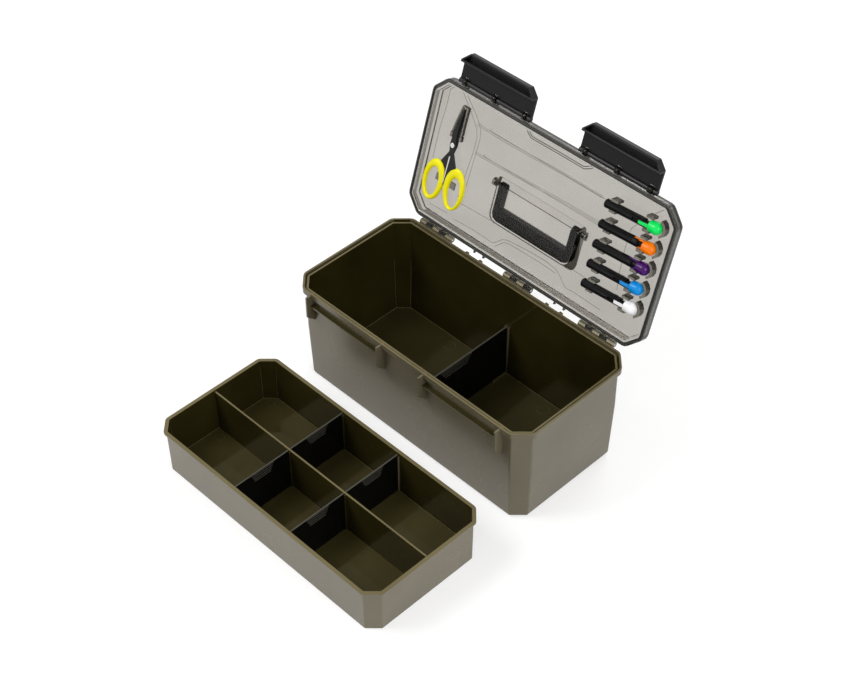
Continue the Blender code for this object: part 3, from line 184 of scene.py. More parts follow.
def plastic(
    name,
    colour,
    roughness,
    vary=0.12,
    grain=0.03,
    rough_vary=0.06,
    shine=0.5,
    tint=(1, 1, 1),
    scuffs=None,
):
    """Moulded plastic: faint cloudy colour, uneven tinted gloss, and a fine skin or long scuffs."""
    material = bpy.data.materials.new(name)
    material.use_nodes = True
    nodes = material.node_tree.nodes
    links = material.node_tree.links
    shader = nodes["Principled BSDF"]
    shader.inputs["IOR"].default_value = PLASTIC_IOR
    shader.inputs["Specular IOR Level"].default_value = shine
    shader.inputs["Specular Tint"].default_value = (*tint, 1)
    place = nodes.new("ShaderNodeTexCoord")
    patches = nodes.new("ShaderNodeTexNoise")
    patches.inputs["Scale"].default_value = PATCH_SCALE
    patches.inputs["Detail"].default_value = PATCH_DETAIL
    links.new(place.outputs["Object"], patches.inputs["Vector"])
    ramp = nodes.new("ShaderNodeValToRGB")
    darkest, palest = ramp.color_ramp.elements
    darkest.position = PATCH_DARKEST
    palest.position = PATCH_PALEST
    darkest.color = (*[part * (1 - vary) for part in colour], 1)
    palest.color = (*[min(1, part * (1 + vary)) for part in colour], 1)
    links.new(patches.outputs["Fac"], ramp.inputs["Fac"])
    links.new(ramp.outputs["Color"], shader.inputs["Base Color"])
    gloss = nodes.new("ShaderNodeMapRange")
    gloss.inputs["To Min"].default_value = max(LEAST_ROUGHNESS, roughness - rough_vary)
    gloss.inputs["To Max"].default_value = roughness + rough_vary
    links.new(patches.outputs["Fac"], gloss.inputs["Value"])
    links.new(gloss.outputs["Result"], shader.inputs["Roughness"])
    skin = nodes.new("ShaderNodeTexNoise")
    if scuffs:
        stretch = nodes.new("ShaderNodeMapping")
        stretch.inputs["Scale"].default_value = scuffs
        links.new(place.outputs["Object"], stretch.inputs["Vector"])
        links.new(stretch.outputs["Vector"], skin.inputs["Vector"])
        skin.inputs["Scale"].default_value = 1
    else:
        links.new(place.outputs["Object"], skin.inputs["Vector"])
        skin.inputs["Scale"].default_value = GRAIN_SCALE
    bump = nodes.new("ShaderNodeBump")
    bump.inputs["Strength"].default_value = grain
    bump.inputs["Distance"].default_value = GRAIN_DEPTH
    links.new(skin.outputs["Fac"], bump.inputs["Height"])
    links.new(bump.outputs["Normal"], shader.inputs["Normal"])
    return material


def only(piece):
    """Make piece the one selected and active object."""
    bpy.ops.object.select_all(action="DESELECT")
    piece.select_set(True)
    bpy.context.view_layer.objects.active = piece


def joined(first, *others):
    """Join pieces into the first one."""
    bpy.ops.object.select_all(action="DESELECT")
    for piece in (first, *others):
        piece.select_set(True)
    bpy.context.view_layer.objects.active = first
    bpy.ops.object.join()
    return first


WIRE_SMOOTH_DEGREES = 60


def wire(name, points, radius):
    """Round rib along points, as a mesh."""
    line = bpy.data.curves.new(name, "CURVE")
    line.dimensions = "3D"
    line.bevel_depth = radius
    line.bevel_resolution = 1
    line.use_fill_caps = True
    spline = line.splines.new("POLY")
    spline.points.add(len(points) - 1)
    for spot, point in zip(spline.points, points):
        spot.co = (*point, 1)
    rib = bpy.data.objects.new(name, line)
    bpy.context.scene.collection.objects.link(rib)
    only(rib)
    bpy.ops.object.convert(target="MESH")
    bpy.ops.object.shade_smooth_by_angle(angle=math.radians(WIRE_SMOOTH_DEGREES))
    return bpy.context.object


MERGE_DISTANCE = 0.00001
FLAT_DEGREES = 1
EDGE_DEGREES = 30
EDGE_SEGMENTS = 2
MOULD_SMOOTH_DEGREES = 40


def rounded_copy(node, body, width):
    """Copy a solid, round its edges as its mould does, and let the copy stand for it."""
    piece = bpy.data.objects.new(node + "_moulded", frame["nodes"][node].data.copy())
    bpy.context.scene.collection.objects.link(piece)
    only(piece)
    bpy.ops.object.mode_set(mode="EDIT")
    bpy.ops.mesh.select_all(action="SELECT")
    bpy.ops.mesh.remove_doubles(threshold=MERGE_DISTANCE)
    bpy.ops.mesh.dissolve_limited(angle_limit=math.radians(FLAT_DEGREES))
    bpy.ops.object.mode_set(mode="OBJECT")
    edge = piece.modifiers.new("edges", "BEVEL")
    edge.width = width
    edge.segments = EDGE_SEGMENTS
    edge.limit_method = "ANGLE"
    edge.angle_limit = math.radians(EDGE_DEGREES)
    bpy.ops.object.modifier_apply(modifier=edge.name)
    bpy.ops.object.shade_smooth_by_angle(angle=math.radians(MOULD_SMOOTH_DEGREES))
    level = piece.modifiers.new("flat_faces", "WEIGHTED_NORMAL")
    level.keep_sharp = True
    bpy.ops.object.modifier_apply(modifier=level.name)
    piece.data.materials.clear()
    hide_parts(node)
    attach(piece, body)
    return piece


def two_skins(piece, outer, inner, is_inner):
    """Give a shell its outer finish, and its inner finish on the faces that is_inner picks."""
    piece.data.materials.append(outer)
    piece.data.materials.append(inner)
    for face in piece.data.polygons:
        if is_inner(face):
            face.material_index = 1


INWARD_LEAST = 0.0005
UPWARD_LEAST = 0.3
TOP_LEAST = 0.6


def looks_inward(face, middle):
    """True on a face that looks to its shell's middle: its own centre is given from there."""
    return face.normal.x * middle.x + face.normal.y * middle.y < -INWARD_LEAST


def lit_top_faces(piece, finish, height, reach=1.0):
    """Give the upper faces above a height, and within a reach along Y, a paler material: painted
    light on the faces that look up.
    """
    piece.data.materials.append(finish)
    last = len(piece.data.materials) - 1
    for face in piece.data.polygons:
        if face.normal.z > TOP_LEAST and face.center.z > height and abs(face.center.y) < reach:
            face.material_index = last


box_outer = plastic(
    "box_outer", BOX_OUTER_COLOUR, roughness=0.26, grain=0.05, shine=0.7, tint=BOX_OUTER_TINT
)
box_inner = plastic(
    "box_inner",
    BOX_INNER_COLOUR,
    roughness=0.06,
    vary=0.25,
    rough_vary=0.02,
    shine=INNER_SHINE,
    tint=BOX_INNER_TINT,
)
# Painted light: the faces that look up inside the box get a paler copy of its inner plastic.
box_floor_lit = plastic(
    "box_floor_lit", BOX_FLOOR_LIT_COLOUR, roughness=0.08, vary=0.2, shine=INNER_SHINE, tint=BOX_INNER_TINT
)
# Painted highlight: the rim's top faces, on box and tray, get a paler copy of the outer plastic.
rim_top_highlight = plastic("rim_top_highlight", BOX_RIM_HIGHLIGHT_COLOUR, roughness=0.3, shine=0.3, tint=BOX_OUTER_TINT)

SHELL_EDGE = 0.0005
BOX_WITHIN = (0.167, 0.079)
BOX_WITHIN_HEIGHT = 0.0015
BOX_RIM_HEIGHT = 0.1285
BOX_RIM_REACH = 0.084
FLOOR_LEAST_HEIGHT = 0.001


def faces_inside_box(face):
    """True on the faces that look into the box, or up from its floor and rim."""
    middle = face.center
    within = abs(middle.x) < BOX_WITHIN[0] and abs(middle.y) < BOX_WITHIN[1]
    inner = looks_inward(face, middle) or face.normal.z > UPWARD_LEAST
    return within and middle.z > BOX_WITHIN_HEIGHT and inner


box = rounded_copy("box_body", "box", SHELL_EDGE)
two_skins(box, box_outer, box_inner, faces_inside_box)
lit_top_faces(box, box_floor_lit, FLOOR_LEAST_HEIGHT, BOX_RIM_REACH)
lit_top_faces(box, rim_top_highlight, BOX_RIM_HEIGHT, BOX_RIM_REACH)

CORNER_LINE_SHARE = 0.6
# Painted highlight: pale plastic for thin ribs along the inner joints, where light shows through the
# plastic at the corners.
joint_highlight_plastic = plastic("joint_highlight_plastic", JOINT_HIGHLIGHT_COLOUR, roughness=0.3, tint=BOX_INNER_TINT)


def corners_of(half_x, half_y, cut, middle=(0, 0)):
    """Eight corners of an octagon with cut corners, anticlockwise, around its middle."""
    points = []
    for x, y in ((1, 1), (-1, 1), (-1, -1), (1, -1)):
        near = (x * half_x, y * (half_y - cut))
        far = (x * (half_x - cut), y * half_y)
        points += [near, far] if x * y > 0 else [far, near]
    return [(middle[0] + x, middle[1] + y) for x, y in points]


def painted_joint_highlights(body, low, high, heights, radius):
    """Pale lines where a shell's inner walls meet each other and the floor: a painted highlight
    along the joints.
    """
    floor_highlight_line = [(x, y, heights[0]) for x, y in (*low, low[0])]
    lines = [wire(f"{body}_floor_highlight_line", floor_highlight_line, radius)]
    for number, (foot, head) in enumerate(zip(low, high), 1):
        ends = [(*foot, heights[0]), (*head, heights[1])]
        lines.append(wire(f"{body}_corner_highlight_line_{number}", ends, radius * CORNER_LINE_SHARE))
    line = joined(*lines)
    line.data.materials.append(joint_highlight_plastic)
    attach(line, body)


BOX_LOW = corners_of(0.1619, 0.0739, 0.0119)
BOX_HIGH = corners_of(0.1652, 0.0772, 0.0138)
BOX_LINE_HEIGHTS = (0.0035, 0.075)
BOX_LINE_RADIUS = 0.00035
painted_joint_highlights("box", BOX_LOW, BOX_HIGH, BOX_LINE_HEIGHTS, BOX_LINE_RADIUS)

# Ejector marks
# Faint round marks that the mould's ejector pins leave on a floor, each a thin raised ring.
# The box has two near its back wall, and the tray has two near each of its ends.
MARK_WIRE = 0.00012
MARK_STEPS = 40
BOX_MARKS = ((-0.0729, 0.0606), (0.0722, 0.0611))
BOX_MARK_HEIGHT = 0.0028
BOX_MARK_RADIUS = 0.007


def ejector_mark(name, x, y, height, radius, body):
    """Thin raised ring on a floor."""
    turns = [2 * math.pi * step / MARK_STEPS for step in range(MARK_STEPS + 1)]
    points = [(x + radius * math.cos(turn), y + radius * math.sin(turn), height) for turn in turns]
    mark = wire(name, points, MARK_WIRE)
    # The ring takes the pale joint-highlight plastic, so its outline is a painted highlight.
    mark.data.materials.append(joint_highlight_plastic)
    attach(mark, body)


for number, (x, y) in enumerate(BOX_MARKS, 1):
    ejector_mark(f"box_mark_{number}", x, y, BOX_MARK_HEIGHT, BOX_MARK_RADIUS, "box")

# Tray
# A lighter olive moulding with thin drafted walls, slots for its dividers and a centre rib.
# It lifts out of the box, and stands by itself in front of it.
TRAY_OUTER_COLOUR = (0.125, 0.108, 0.07)
TRAY_INNER_COLOUR = (0.026, 0.021, 0.0055)
TRAY_FLOOR_LIT_COLOUR = (0.052, 0.043, 0.0145)
TRAY_WITHIN = (0.155, 0.066)
TRAY_RIM_HEIGHT = 0.0555
DOWNWARD_MOST = -0.5
tray_outer = plastic(
    "tray_outer", TRAY_OUTER_COLOUR, roughness=0.26, grain=0.05, shine=0.9, tint=BOX_OUTER_TINT
)
tray_inner = plastic(
    "tray_inner",
    TRAY_INNER_COLOUR,
    roughness=0.06,
    vary=0.25,
    rough_vary=0.02,
    shine=INNER_SHINE,
    tint=BOX_INNER_TINT,
)
# Painted light: the tray's faces that look up get a paler copy of its inner plastic.
tray_floor_lit = plastic(
    "tray_floor_lit", TRAY_FLOOR_LIT_COLOUR, roughness=0.08, vary=0.2, shine=INNER_SHINE, tint=BOX_INNER_TINT
)
tray_low, tray_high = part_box("tray")
tray_middle = (tray_low + tray_high) / 2


def faces_inside_tray(face):
    """True on the faces that look into the tray, up from its floor, or stand inside it."""
    middle = face.center - tray_middle
    within = abs(middle.x) < TRAY_WITHIN[0] and abs(middle.y) < TRAY_WITHIN[1]
    inner = looks_inward(face, middle) or face.normal.z > UPWARD_LEAST
    return inner or (within and face.normal.z > DOWNWARD_MOST)


tray = rounded_copy("tray", "tray", SHELL_EDGE)
two_skins(tray, tray_outer, tray_inner, faces_inside_tray)
lit_top_faces(tray, tray_floor_lit, FLOOR_LEAST_HEIGHT)
lit_top_faces(tray, rim_top_highlight, TRAY_RIM_HEIGHT)

TRAY_MIDDLE = (tray_middle.x, tray_middle.y)
TRAY_LOW = corners_of(0.1612, 0.074, 0.0115, TRAY_MIDDLE)
TRAY_HIGH = corners_of(0.1624, 0.0752, 0.0122, TRAY_MIDDLE)
TRAY_LINE_HEIGHTS = (0.0022, 0.056)
TRAY_LINE_RADIUS = 0.0003
painted_joint_highlights("tray", TRAY_LOW, TRAY_HIGH, TRAY_LINE_HEIGHTS, TRAY_LINE_RADIUS)

TRAY_MARK_X = 0.1495
TRAY_MARK_YS = (-0.2177, -0.1452)
TRAY_MARK_HEIGHT = 0.0018
TRAY_MARK_RADIUS = 0.005
for end, side in (("left", -1), ("right", 1)):
    for row, y in enumerate(TRAY_MARK_YS, 1):
        x = tray_middle.x + side * TRAY_MARK_X
        ejector_mark(f"tray_mark_{end}_{row}", x, y, TRAY_MARK_HEIGHT, TRAY_MARK_RADIUS, "tray")

# Dividers
# Thin black plastic plates, each with a ribbed grip; their upper faces get a paler colour, a painted
# highlight.
# They stand loose in slots, one across the box and four across the tray.
DIVIDER_COLOUR = (0.0022, 0.0022, 0.002)
DIVIDER_TOP_HIGHLIGHT_COLOUR = (0.05, 0.047, 0.032)
DIVIDER_EDGE = 0.0004
divider_plastic = plastic("divider_plastic", DIVIDER_COLOUR, roughness=0.28, shine=0.14)
# Painted highlight on the dividers' upper faces.
divider_top_highlight = plastic("divider_top_highlight", DIVIDER_TOP_HIGHLIGHT_COLOUR, roughness=0.3, shine=0.3)
for node in (
    "box_divider",
    "tray_divider_front_left",
    "tray_divider_front_right",
    "tray_divider_back_left",
    "tray_divider_back_right",
):
    divider = rounded_copy(node, node, DIVIDER_EDGE)
    divider.data.materials.append(divider_plastic)
    lit_top_faces(divider, divider_top_highlight, 0)

# Lid
# One clear smoke-grey moulding: its clips, lugs and holders get a darker smoke, partly for their
# thickness and partly as painted shade for the dark surroundings seen through them.
# Its knuckles turn on three pins behind the box, and it is seen open.
LID_COLOUR = (0.485, 0.463, 0.427)
LUG_COLOUR = (0.06, 0.056, 0.043)
RIM_COLOUR = (0.1, 0.096, 0.086)
SMOKE_TINT = (0.3, 0.3, 0.28)
LID_EDGE = 0.0004
LID_FACE = 0.1313
LID_DEPTH = 0.01
PANEL_UNDER = LID_FACE + LID_DEPTH
LID_OPEN = math.radians(107.5)
LID_HINGE = Vector(frame["joints"][0]["pos_m"])
LID_TURN = (
    Matrix.Translation(LID_HINGE)
    @ Matrix.Rotation(-LID_OPEN, 4, "X")
    @ Matrix.Translation(-LID_HINGE)
)


def smoke_plastic(name, colour, see_through, roughness):
    """Tinted clear plastic that blurs what is behind it and mirrors little."""
    material = plastic(name, colour, roughness, vary=0.05, grain=0, tint=SMOKE_TINT)
    shader = material.node_tree.nodes["Principled BSDF"]
    shader.inputs["Transmission Weight"].default_value = see_through
    return material


FIELD_HALF_LENGTH = 0.157
FIELD_HALF_DEPTH = 0.07
FIELD_RISE = 0.0006
FIELD_AREA = 0.0004
LUG_Y = -0.0845
KNUCKLE_Y = 0.083


def is_detail(face):
    """True on the faces of clips and holders, lugs and knuckles, apart from the panel and rim."""
    middle = LID_TURN.inverted() @ face.center
    in_field = abs(middle.x) < FIELD_HALF_LENGTH and abs(middle.y) < FIELD_HALF_DEPTH
    raised = middle.z < PANEL_UNDER - FIELD_RISE
    small = face.area <= FIELD_AREA
    return (in_field and raised and small) or middle.y < LUG_Y or middle.y > KNUCKLE_Y


RIM_HALF_LENGTH = 0.1685
RIM_HALF_DEPTH = 0.0805
RIM_CORNER_SUM = 0.2346
RIM_TOP = 0.1385


def is_rim(face):
    """True on the faces of the lid's thick outer edge."""
    middle = LID_TURN.inverted() @ face.center
    x, y = abs(middle.x), abs(middle.y)
    outside = x > RIM_HALF_LENGTH or y > RIM_HALF_DEPTH or x + y > RIM_CORNER_SUM
    return outside and middle.z < RIM_TOP


lid_plastic = smoke_plastic("lid_plastic", LID_COLOUR, see_through=1.0, roughness=0.14)
# Darker smoke for clips, lugs, holders and knuckles: partly their thickness, partly painted shade.
lug_plastic = smoke_plastic("lug_plastic", LUG_COLOUR, see_through=1.0, roughness=0.1)
rim_plastic = smoke_plastic("lid_rim_plastic", RIM_COLOUR, see_through=1.0, roughness=0.14)
lid = rounded_copy("lid", "lid", LID_EDGE)
two_skins(lid, lid_plastic, lug_plastic, is_detail)
lid.data.materials.append(rim_plastic)
for face in lid.data.polygons:
    if face.material_index == 0 and is_rim(face):
        face.material_index = 2

# Lug eyes
# Round eyes of the lid's latch lugs, moulded with the lid in the same smoke-grey plastic.
# They carry the latch pins, and fill the latches' notches around them.
LATCH_CENTRE = 0.086
LATCH_PIN_Y = -0.0896
LUG_SPACING = 0.0434
EYE_HALF_WIDTH = 0.0032
EYE_RADIUS = 0.0044
EYE_BEVEL = 0.0004
EYE_SIDES = 24
EYE_OUTLINE = (
    (-EYE_HALF_WIDTH, 0),
    (-EYE_HALF_WIDTH, EYE_RADIUS - EYE_BEVEL),
    (EYE_BEVEL - EYE_HALF_WIDTH, EYE_RADIUS),
    (EYE_HALF_WIDTH - EYE_BEVEL, EYE_RADIUS),
    (EYE_HALF_WIDTH, EYE_RADIUS - EYE_BEVEL),
    (EYE_HALF_WIDTH, 0),
)
SMOOTH_DEGREES = 45


def shape(name, vertices, faces, smooth_degrees=SMOOTH_DEGREES):
    """Closed mesh with its normals outward and its round faces smooth."""
    mesh = bpy.data.meshes.new(name)
    mesh.from_pydata([tuple(vertex) for vertex in vertices], [], faces)
    piece = bpy.data.objects.new(name, mesh)
    bpy.context.scene.collection.objects.link(piece)
    only(piece)
    bpy.ops.object.mode_set(mode="EDIT")
    bpy.ops.mesh.select_all(action="SELECT")
    bpy.ops.mesh.normals_make_consistent(inside=False)
    bpy.ops.object.mode_set(mode="OBJECT")
    bpy.ops.object.shade_smooth_by_angle(angle=math.radians(smooth_degrees))
    return piece


def lathe(name, profile, place, sides):
    """Solid turned round the X axis of place, from (x, radius) points that start and end on it."""
    vertices = [place @ Vector((profile[0][0], 0, 0))]
    for x, radius in profile[1:-1]:
        for side in range(sides):
            angle = 2 * math.pi * side / sides
            vertices.append(place @ Vector((x, radius * math.cos(angle), radius * math.sin(angle))))
    vertices.append(place @ Vector((profile[-1][0], 0, 0)))
    last = len(vertices) - 1
    faces = []
    for side in range(sides):
        after = (side + 1) % sides
        faces.append((0, 1 + after, 1 + side))
        for ring in range(len(profile) - 3):
            near = 1 + ring * sides
            far = near + sides
            faces.append((near + side, near + after, far + after, far + side))
        faces.append((last - sides + side, last - sides + after, last))
    return shape(name, vertices, faces)


for end, side in (("left", -1), ("right", 1)):
    for number in (-1, 0, 1):
        x = side * LATCH_CENTRE + number * LUG_SPACING
        spot = LID_TURN @ Matrix.Translation((x, LATCH_PIN_Y, LID_FACE))
        eye = lathe(f"lug_eye_{end}_{number + 2}", EYE_OUTLINE, spot, EYE_SIDES)
        eye.data.materials.append(rim_plastic)
        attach(eye, "lid")

# Lid relief
# Low steps moulded in the lid's own plastic, drawn darker as painted shade: notches at the middle,
# long grooves and borders.
# Each line is given on the inner face in millimetres, along X and up from the hinge edge.
LID_BACK_Y = 0.0825
STEP_RADIUS = 0.00028
RELIEF_SHADE_COLOUR = (0.3, 0.295, 0.27)
NOTCH_SHADE_COLOUR = (0.05, 0.048, 0.042)
NOTCH_RADIUS = 0.00045
NOTCH_LINES = (
    (
        (-41.9, 158.4),
        (-39, 153.9),
        (-34.4, 150.8),
        (4.6, 151.2),
        (38.2, 151),
        (46.3, 155.3),
        (50.3, 159.6),
    ),
    (
        (-44.2, 157.4),
        (-41, 152.3),
        (-35.4, 148.6),
        (4.6, 148.9),
        (39.2, 148.8),
        (48.2, 153.4),
        (53, 158.6),
    ),
)
RELIEF_LINES = (
    ((-104.3, 34.5), (-58.9, 36.5)),
    ((53.5, 39), (76.4, 38.5)),
    (
        (-108.5, 12.6),
        (-76.3, 14.1),
        (-48.6, 13.5),
        (-37, 24.4),
        (-30, 26.5),
        (-5.6, 28.9),
        (23.3, 30.1),
    ),
    ((23.3, 30.1), (40, 27.9), (45.2, 25.2), (57.3, 15), (71.3, 15.9), (106.9, 14.7)),
    ((-45.5, 10.8), (-34.6, 21.9), (-26.2, 23.6), (17.8, 24.6), (41.4, 23.7)),
    ((-148.2, 157.4), (-155.5, 151.1), (-155.6, 131.2), (-157.7, 102.1), (-157.7, 65)),
    ((-146.7, 13.4), (-120, 14.3)),
    ((130.2, 138.8), (140.5, 150.5), (148.8, 158.2)),
    ((119.7, 125.3), (114.9, 118.1), (114, 112.9), (114.4, 89.3), (116.7, 60.6), (119.6, 46.4)),
    (
        (-138.6, 155.8),
        (-123.9, 142.3),
        (-107.8, 124.7),
        (-104.8, 115.2),
        (-104.8, 100.6),
        (-110.5, 39.5),
    ),
    (
        (-134.7, 157.6),
        (-120.2, 145.2),
        (-107.8, 134.3),
        (-101.9, 125.1),
        (-100.2, 115),
        (-103.1, 55.8),
    ),
)
GROOVE_WIDTH = 2.2
GROOVES = (
    ((-108.8, 130.2), (-67.5, 129.4), (-31.3, 130.2), (18.2, 131.7), (70.9, 131.7)),
    ((-102.7, 98.6), (-58, 99.8), (-21.6, 101), (20.5, 103), (75, 103.7)),
)


def on_panel(u, v):
    """Point on the open lid's inner face, u along X and v up from the hinge edge, in millimetres."""
    return LID_TURN @ Vector((u / 1000, LID_BACK_Y - v / 1000, PANEL_UNDER))


def relief(kind, lines, radius, finish):
    """Round ribs along lines on the lid's inner face."""
    for number, line in enumerate(lines, 1):
        rib = wire(f"lid_{kind}_{number}", [on_panel(u, v) for u, v in line], radius)
        rib.data.materials.append(finish)
        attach(rib, "lid")


# Painted shade: the steps and notches take darker, cloudier copies of the smoke plastic, for the
# dark lines that the steps show.
relief_shade_plastic = smoke_plastic("relief_shade_plastic", RELIEF_SHADE_COLOUR, see_through=0.3, roughness=0.4)
notch_shade_plastic = smoke_plastic("notch_shade_plastic", NOTCH_SHADE_COLOUR, see_through=0.3, roughness=0.4)
groove_edges = [
    [(u, v + side * GROOVE_WIDTH / 2) for u, v in line] for line in GROOVES for side in (-1, 1)
]
relief("step", [*RELIEF_LINES, *groove_edges], STEP_RADIUS, relief_shade_plastic)
relief("notch", NOTCH_LINES, NOTCH_RADIUS, notch_shade_plastic)

# Seal
# A black rubber cord with a bead along each side and a web between them, given a paler, glossier
# copy of the rubber as a painted sheen.
# It is pressed into the groove in the lid's edge.
SEAL_COLOUR = (0.016, 0.016, 0.014)
SEAL_WEB_SHEEN_COLOUR = (0.1, 0.097, 0.088)
SEAL_EDGE = 0.0002
WEB_FACING = 0.9
WEB_DEPTH = 0.0008
seal_rubber = plastic("seal_rubber", SEAL_COLOUR, roughness=0.45, grain=0.1)
# Painted sheen: the web's outward faces get a paler, glossier copy of the rubber.
seal_web_sheen = plastic("seal_web_sheen", SEAL_WEB_SHEEN_COLOUR, roughness=0.3, grain=0.05)
seal_front = LID_TURN.to_3x3() @ Vector((0, 0, -1))


def is_web(face):
    """True on the faces between the beads, which lie deeper and look out of the lid."""
    depth = (LID_TURN.inverted() @ face.center).z - LID_FACE
    return face.normal.dot(seal_front) > WEB_FACING and depth > WEB_DEPTH


seal = rounded_copy("lid_seal", "lid", SEAL_EDGE)
two_skins(seal, seal_rubber, seal_web_sheen, is_web)

# Latches and carry handle
# Black plastic mouldings: fine scuffs run along the latches, and the handle is satin.
# The latches hinge on the lid's lugs, and the handle in the pocket on the lid's outside.
BLACK_COLOUR = (0.006, 0.006, 0.006)
SCUFF_STRETCH = (6, 900, 900)
FITTING_EDGE = 0.0005
black_plastic = plastic("black_plastic", BLACK_COLOUR, roughness=0.36, grain=0, shine=0.08)
latch_plastic = plastic(
    "latch_plastic", BLACK_COLOUR, roughness=0.3, grain=1.0, shine=0.17, scuffs=SCUFF_STRETCH
)
for node, finish in (
    ("latch_left", latch_plastic),
    ("latch_right", latch_plastic),
    ("handle", black_plastic),
):
    fitting = rounded_copy(node, node, FITTING_EDGE)
    fitting.data.materials.append(finish)

# Hinge and latch pins
# Drawn steel wire, bright in the hinge; the latch pins get a dark copy of the steel, painted shade
# inside the lugs.
# Each pin is cut to length and pressed through its row of knuckles.
PIN_COLOUR = (0.62, 0.61, 0.59)
SHADED_PIN_COLOUR = (0.1, 0.1, 0.095)


def steel(name, colour, roughness):
    """Drawn or ground steel with fine marks along the work."""
    material = plastic(name, colour, roughness, vary=0.08, grain=0.05)
    material.node_tree.nodes["Principled BSDF"].inputs["Metallic"].default_value = 1
    return material


def refinish(piece, finish):
    """Give a piece one finish in place of what it had."""
    piece.data.materials.clear()
    piece.data.materials.append(finish)


pin_steel = steel("pin_steel", PIN_COLOUR, roughness=0.28)
# Painted shade: a darker copy of the pin steel for the latch pins.
shaded_steel = steel("shaded_steel", SHADED_PIN_COLOUR, roughness=0.3)
for node, finish in (
    ("hinge_pin_left", pin_steel),
    ("hinge_pin_middle", pin_steel),
    ("hinge_pin_right", pin_steel),
    ("latch_pin_left", shaded_steel),
    ("latch_pin_right", shaded_steel),
):
    refinish(frame["nodes"][node], finish)

# Hook tools
# Black fluted barrels, each with a domed push knob in a bright colour and a steel needle.
# The knob's two tongues slide in the barrel, and the tool snaps into clips on the lid.
TOOL_NOSE_X = 0.0812
TOOL_NOSE_Y = -0.0497
TOOL_RISE = 0.0027
TOOL_NOSE = Vector((TOOL_NOSE_X, TOOL_NOSE_Y, LID_FACE + TOOL_RISE))
TOOL_PITCH = 0.0237
TOOL_TILT = math.radians(-3.3)
BARREL_RADIUS = 0.005
BARREL_EDGE = 0.0003
FLUTE_ANGLES = (25, 65, 115, 155, 205, 245, 295, 335)
FLUTE_RADIUS = 0.0006
FLUTE_ENDS = (0.0045, 0.036)
FLUTE_SIDES = 12


def flute(name, place):
    """Cutter that draws grooves along a barrel."""
    cutters = []
    for angle in FLUTE_ANGLES:
        turned = place @ Matrix.Rotation(math.radians(angle), 4, "X")
        spot = turned @ Matrix.Translation((0, BARREL_RADIUS + FLUTE_RADIUS / 3, 0))
        start, end = FLUTE_ENDS
        line = ((start, 0), (start, FLUTE_RADIUS), (end, FLUTE_RADIUS), (end, 0))
        cutters.append(lathe(f"{name}_flute_{angle}", line, spot, FLUTE_SIDES))
    return joined(*cutters)


BLOCK_FACES = ((0, 1, 3, 2), (4, 6, 7, 5), (0, 4, 5, 1), (2, 3, 7, 6), (0, 2, 6, 4), (1, 5, 7, 3))
PAD_SEGMENTS = 3
PAD_SMOOTH_DEGREES = 50


def pad(name, low, high, place, edge):
    """Block between two corners in place's frame, with all its edges rounded."""
    vertices = [
        place @ Vector((x, y, z))
        for x in (low[0], high[0])
        for y in (low[1], high[1])
        for z in (low[2], high[2])
    ]
    piece = shape(name, vertices, BLOCK_FACES)
    rounding = piece.modifiers.new("edges", "BEVEL")
    rounding.width = edge
    rounding.segments = PAD_SEGMENTS
    bpy.ops.object.modifier_apply(modifier=rounding.name)
    bpy.ops.object.shade_smooth_by_angle(angle=math.radians(PAD_SMOOTH_DEGREES))
    return piece


BALL_X = 0.0659
BALL_RADIUS = 0.0069
BALL_STEPS = 14
SLEEVE_X = 0.0582
SLEEVE_RADIUS = 0.0061
MOUTH_RADIUS = 0.0053
MOUTH_END = 0.0598
SOCKET_RADIUS = 0.0033
SOCKET_END = 0.0683
KNOB_SIDES = 40
DOME = [
    (
        BALL_X + BALL_RADIUS * math.cos(math.pi / 2 * step / BALL_STEPS),
        BALL_RADIUS * math.sin(math.pi / 2 * step / BALL_STEPS),
    )
    for step in range(BALL_STEPS + 1)
]
KNOB_OUTLINE = [
    *DOME,
    (SLEEVE_X, SLEEVE_RADIUS),
    (SLEEVE_X, MOUTH_RADIUS),
    (MOUTH_END, MOUTH_RADIUS),
    (MOUTH_END, SOCKET_RADIUS),
    (SOCKET_END, SOCKET_RADIUS),
    (SOCKET_END, 0),
]
TONGUE_ENDS = (0.0455, BALL_X - BALL_RADIUS / 2)
TONGUE_HALF = 0.0015
TONGUE_EDGE = 0.0003
BUTTON_ENDS = (0.0462, 0.0578)
BUTTON_HALF = 0.0017
BUTTON_RAISE = 0.0003
BUTTON_EDGE = BUTTON_RAISE * 0.9
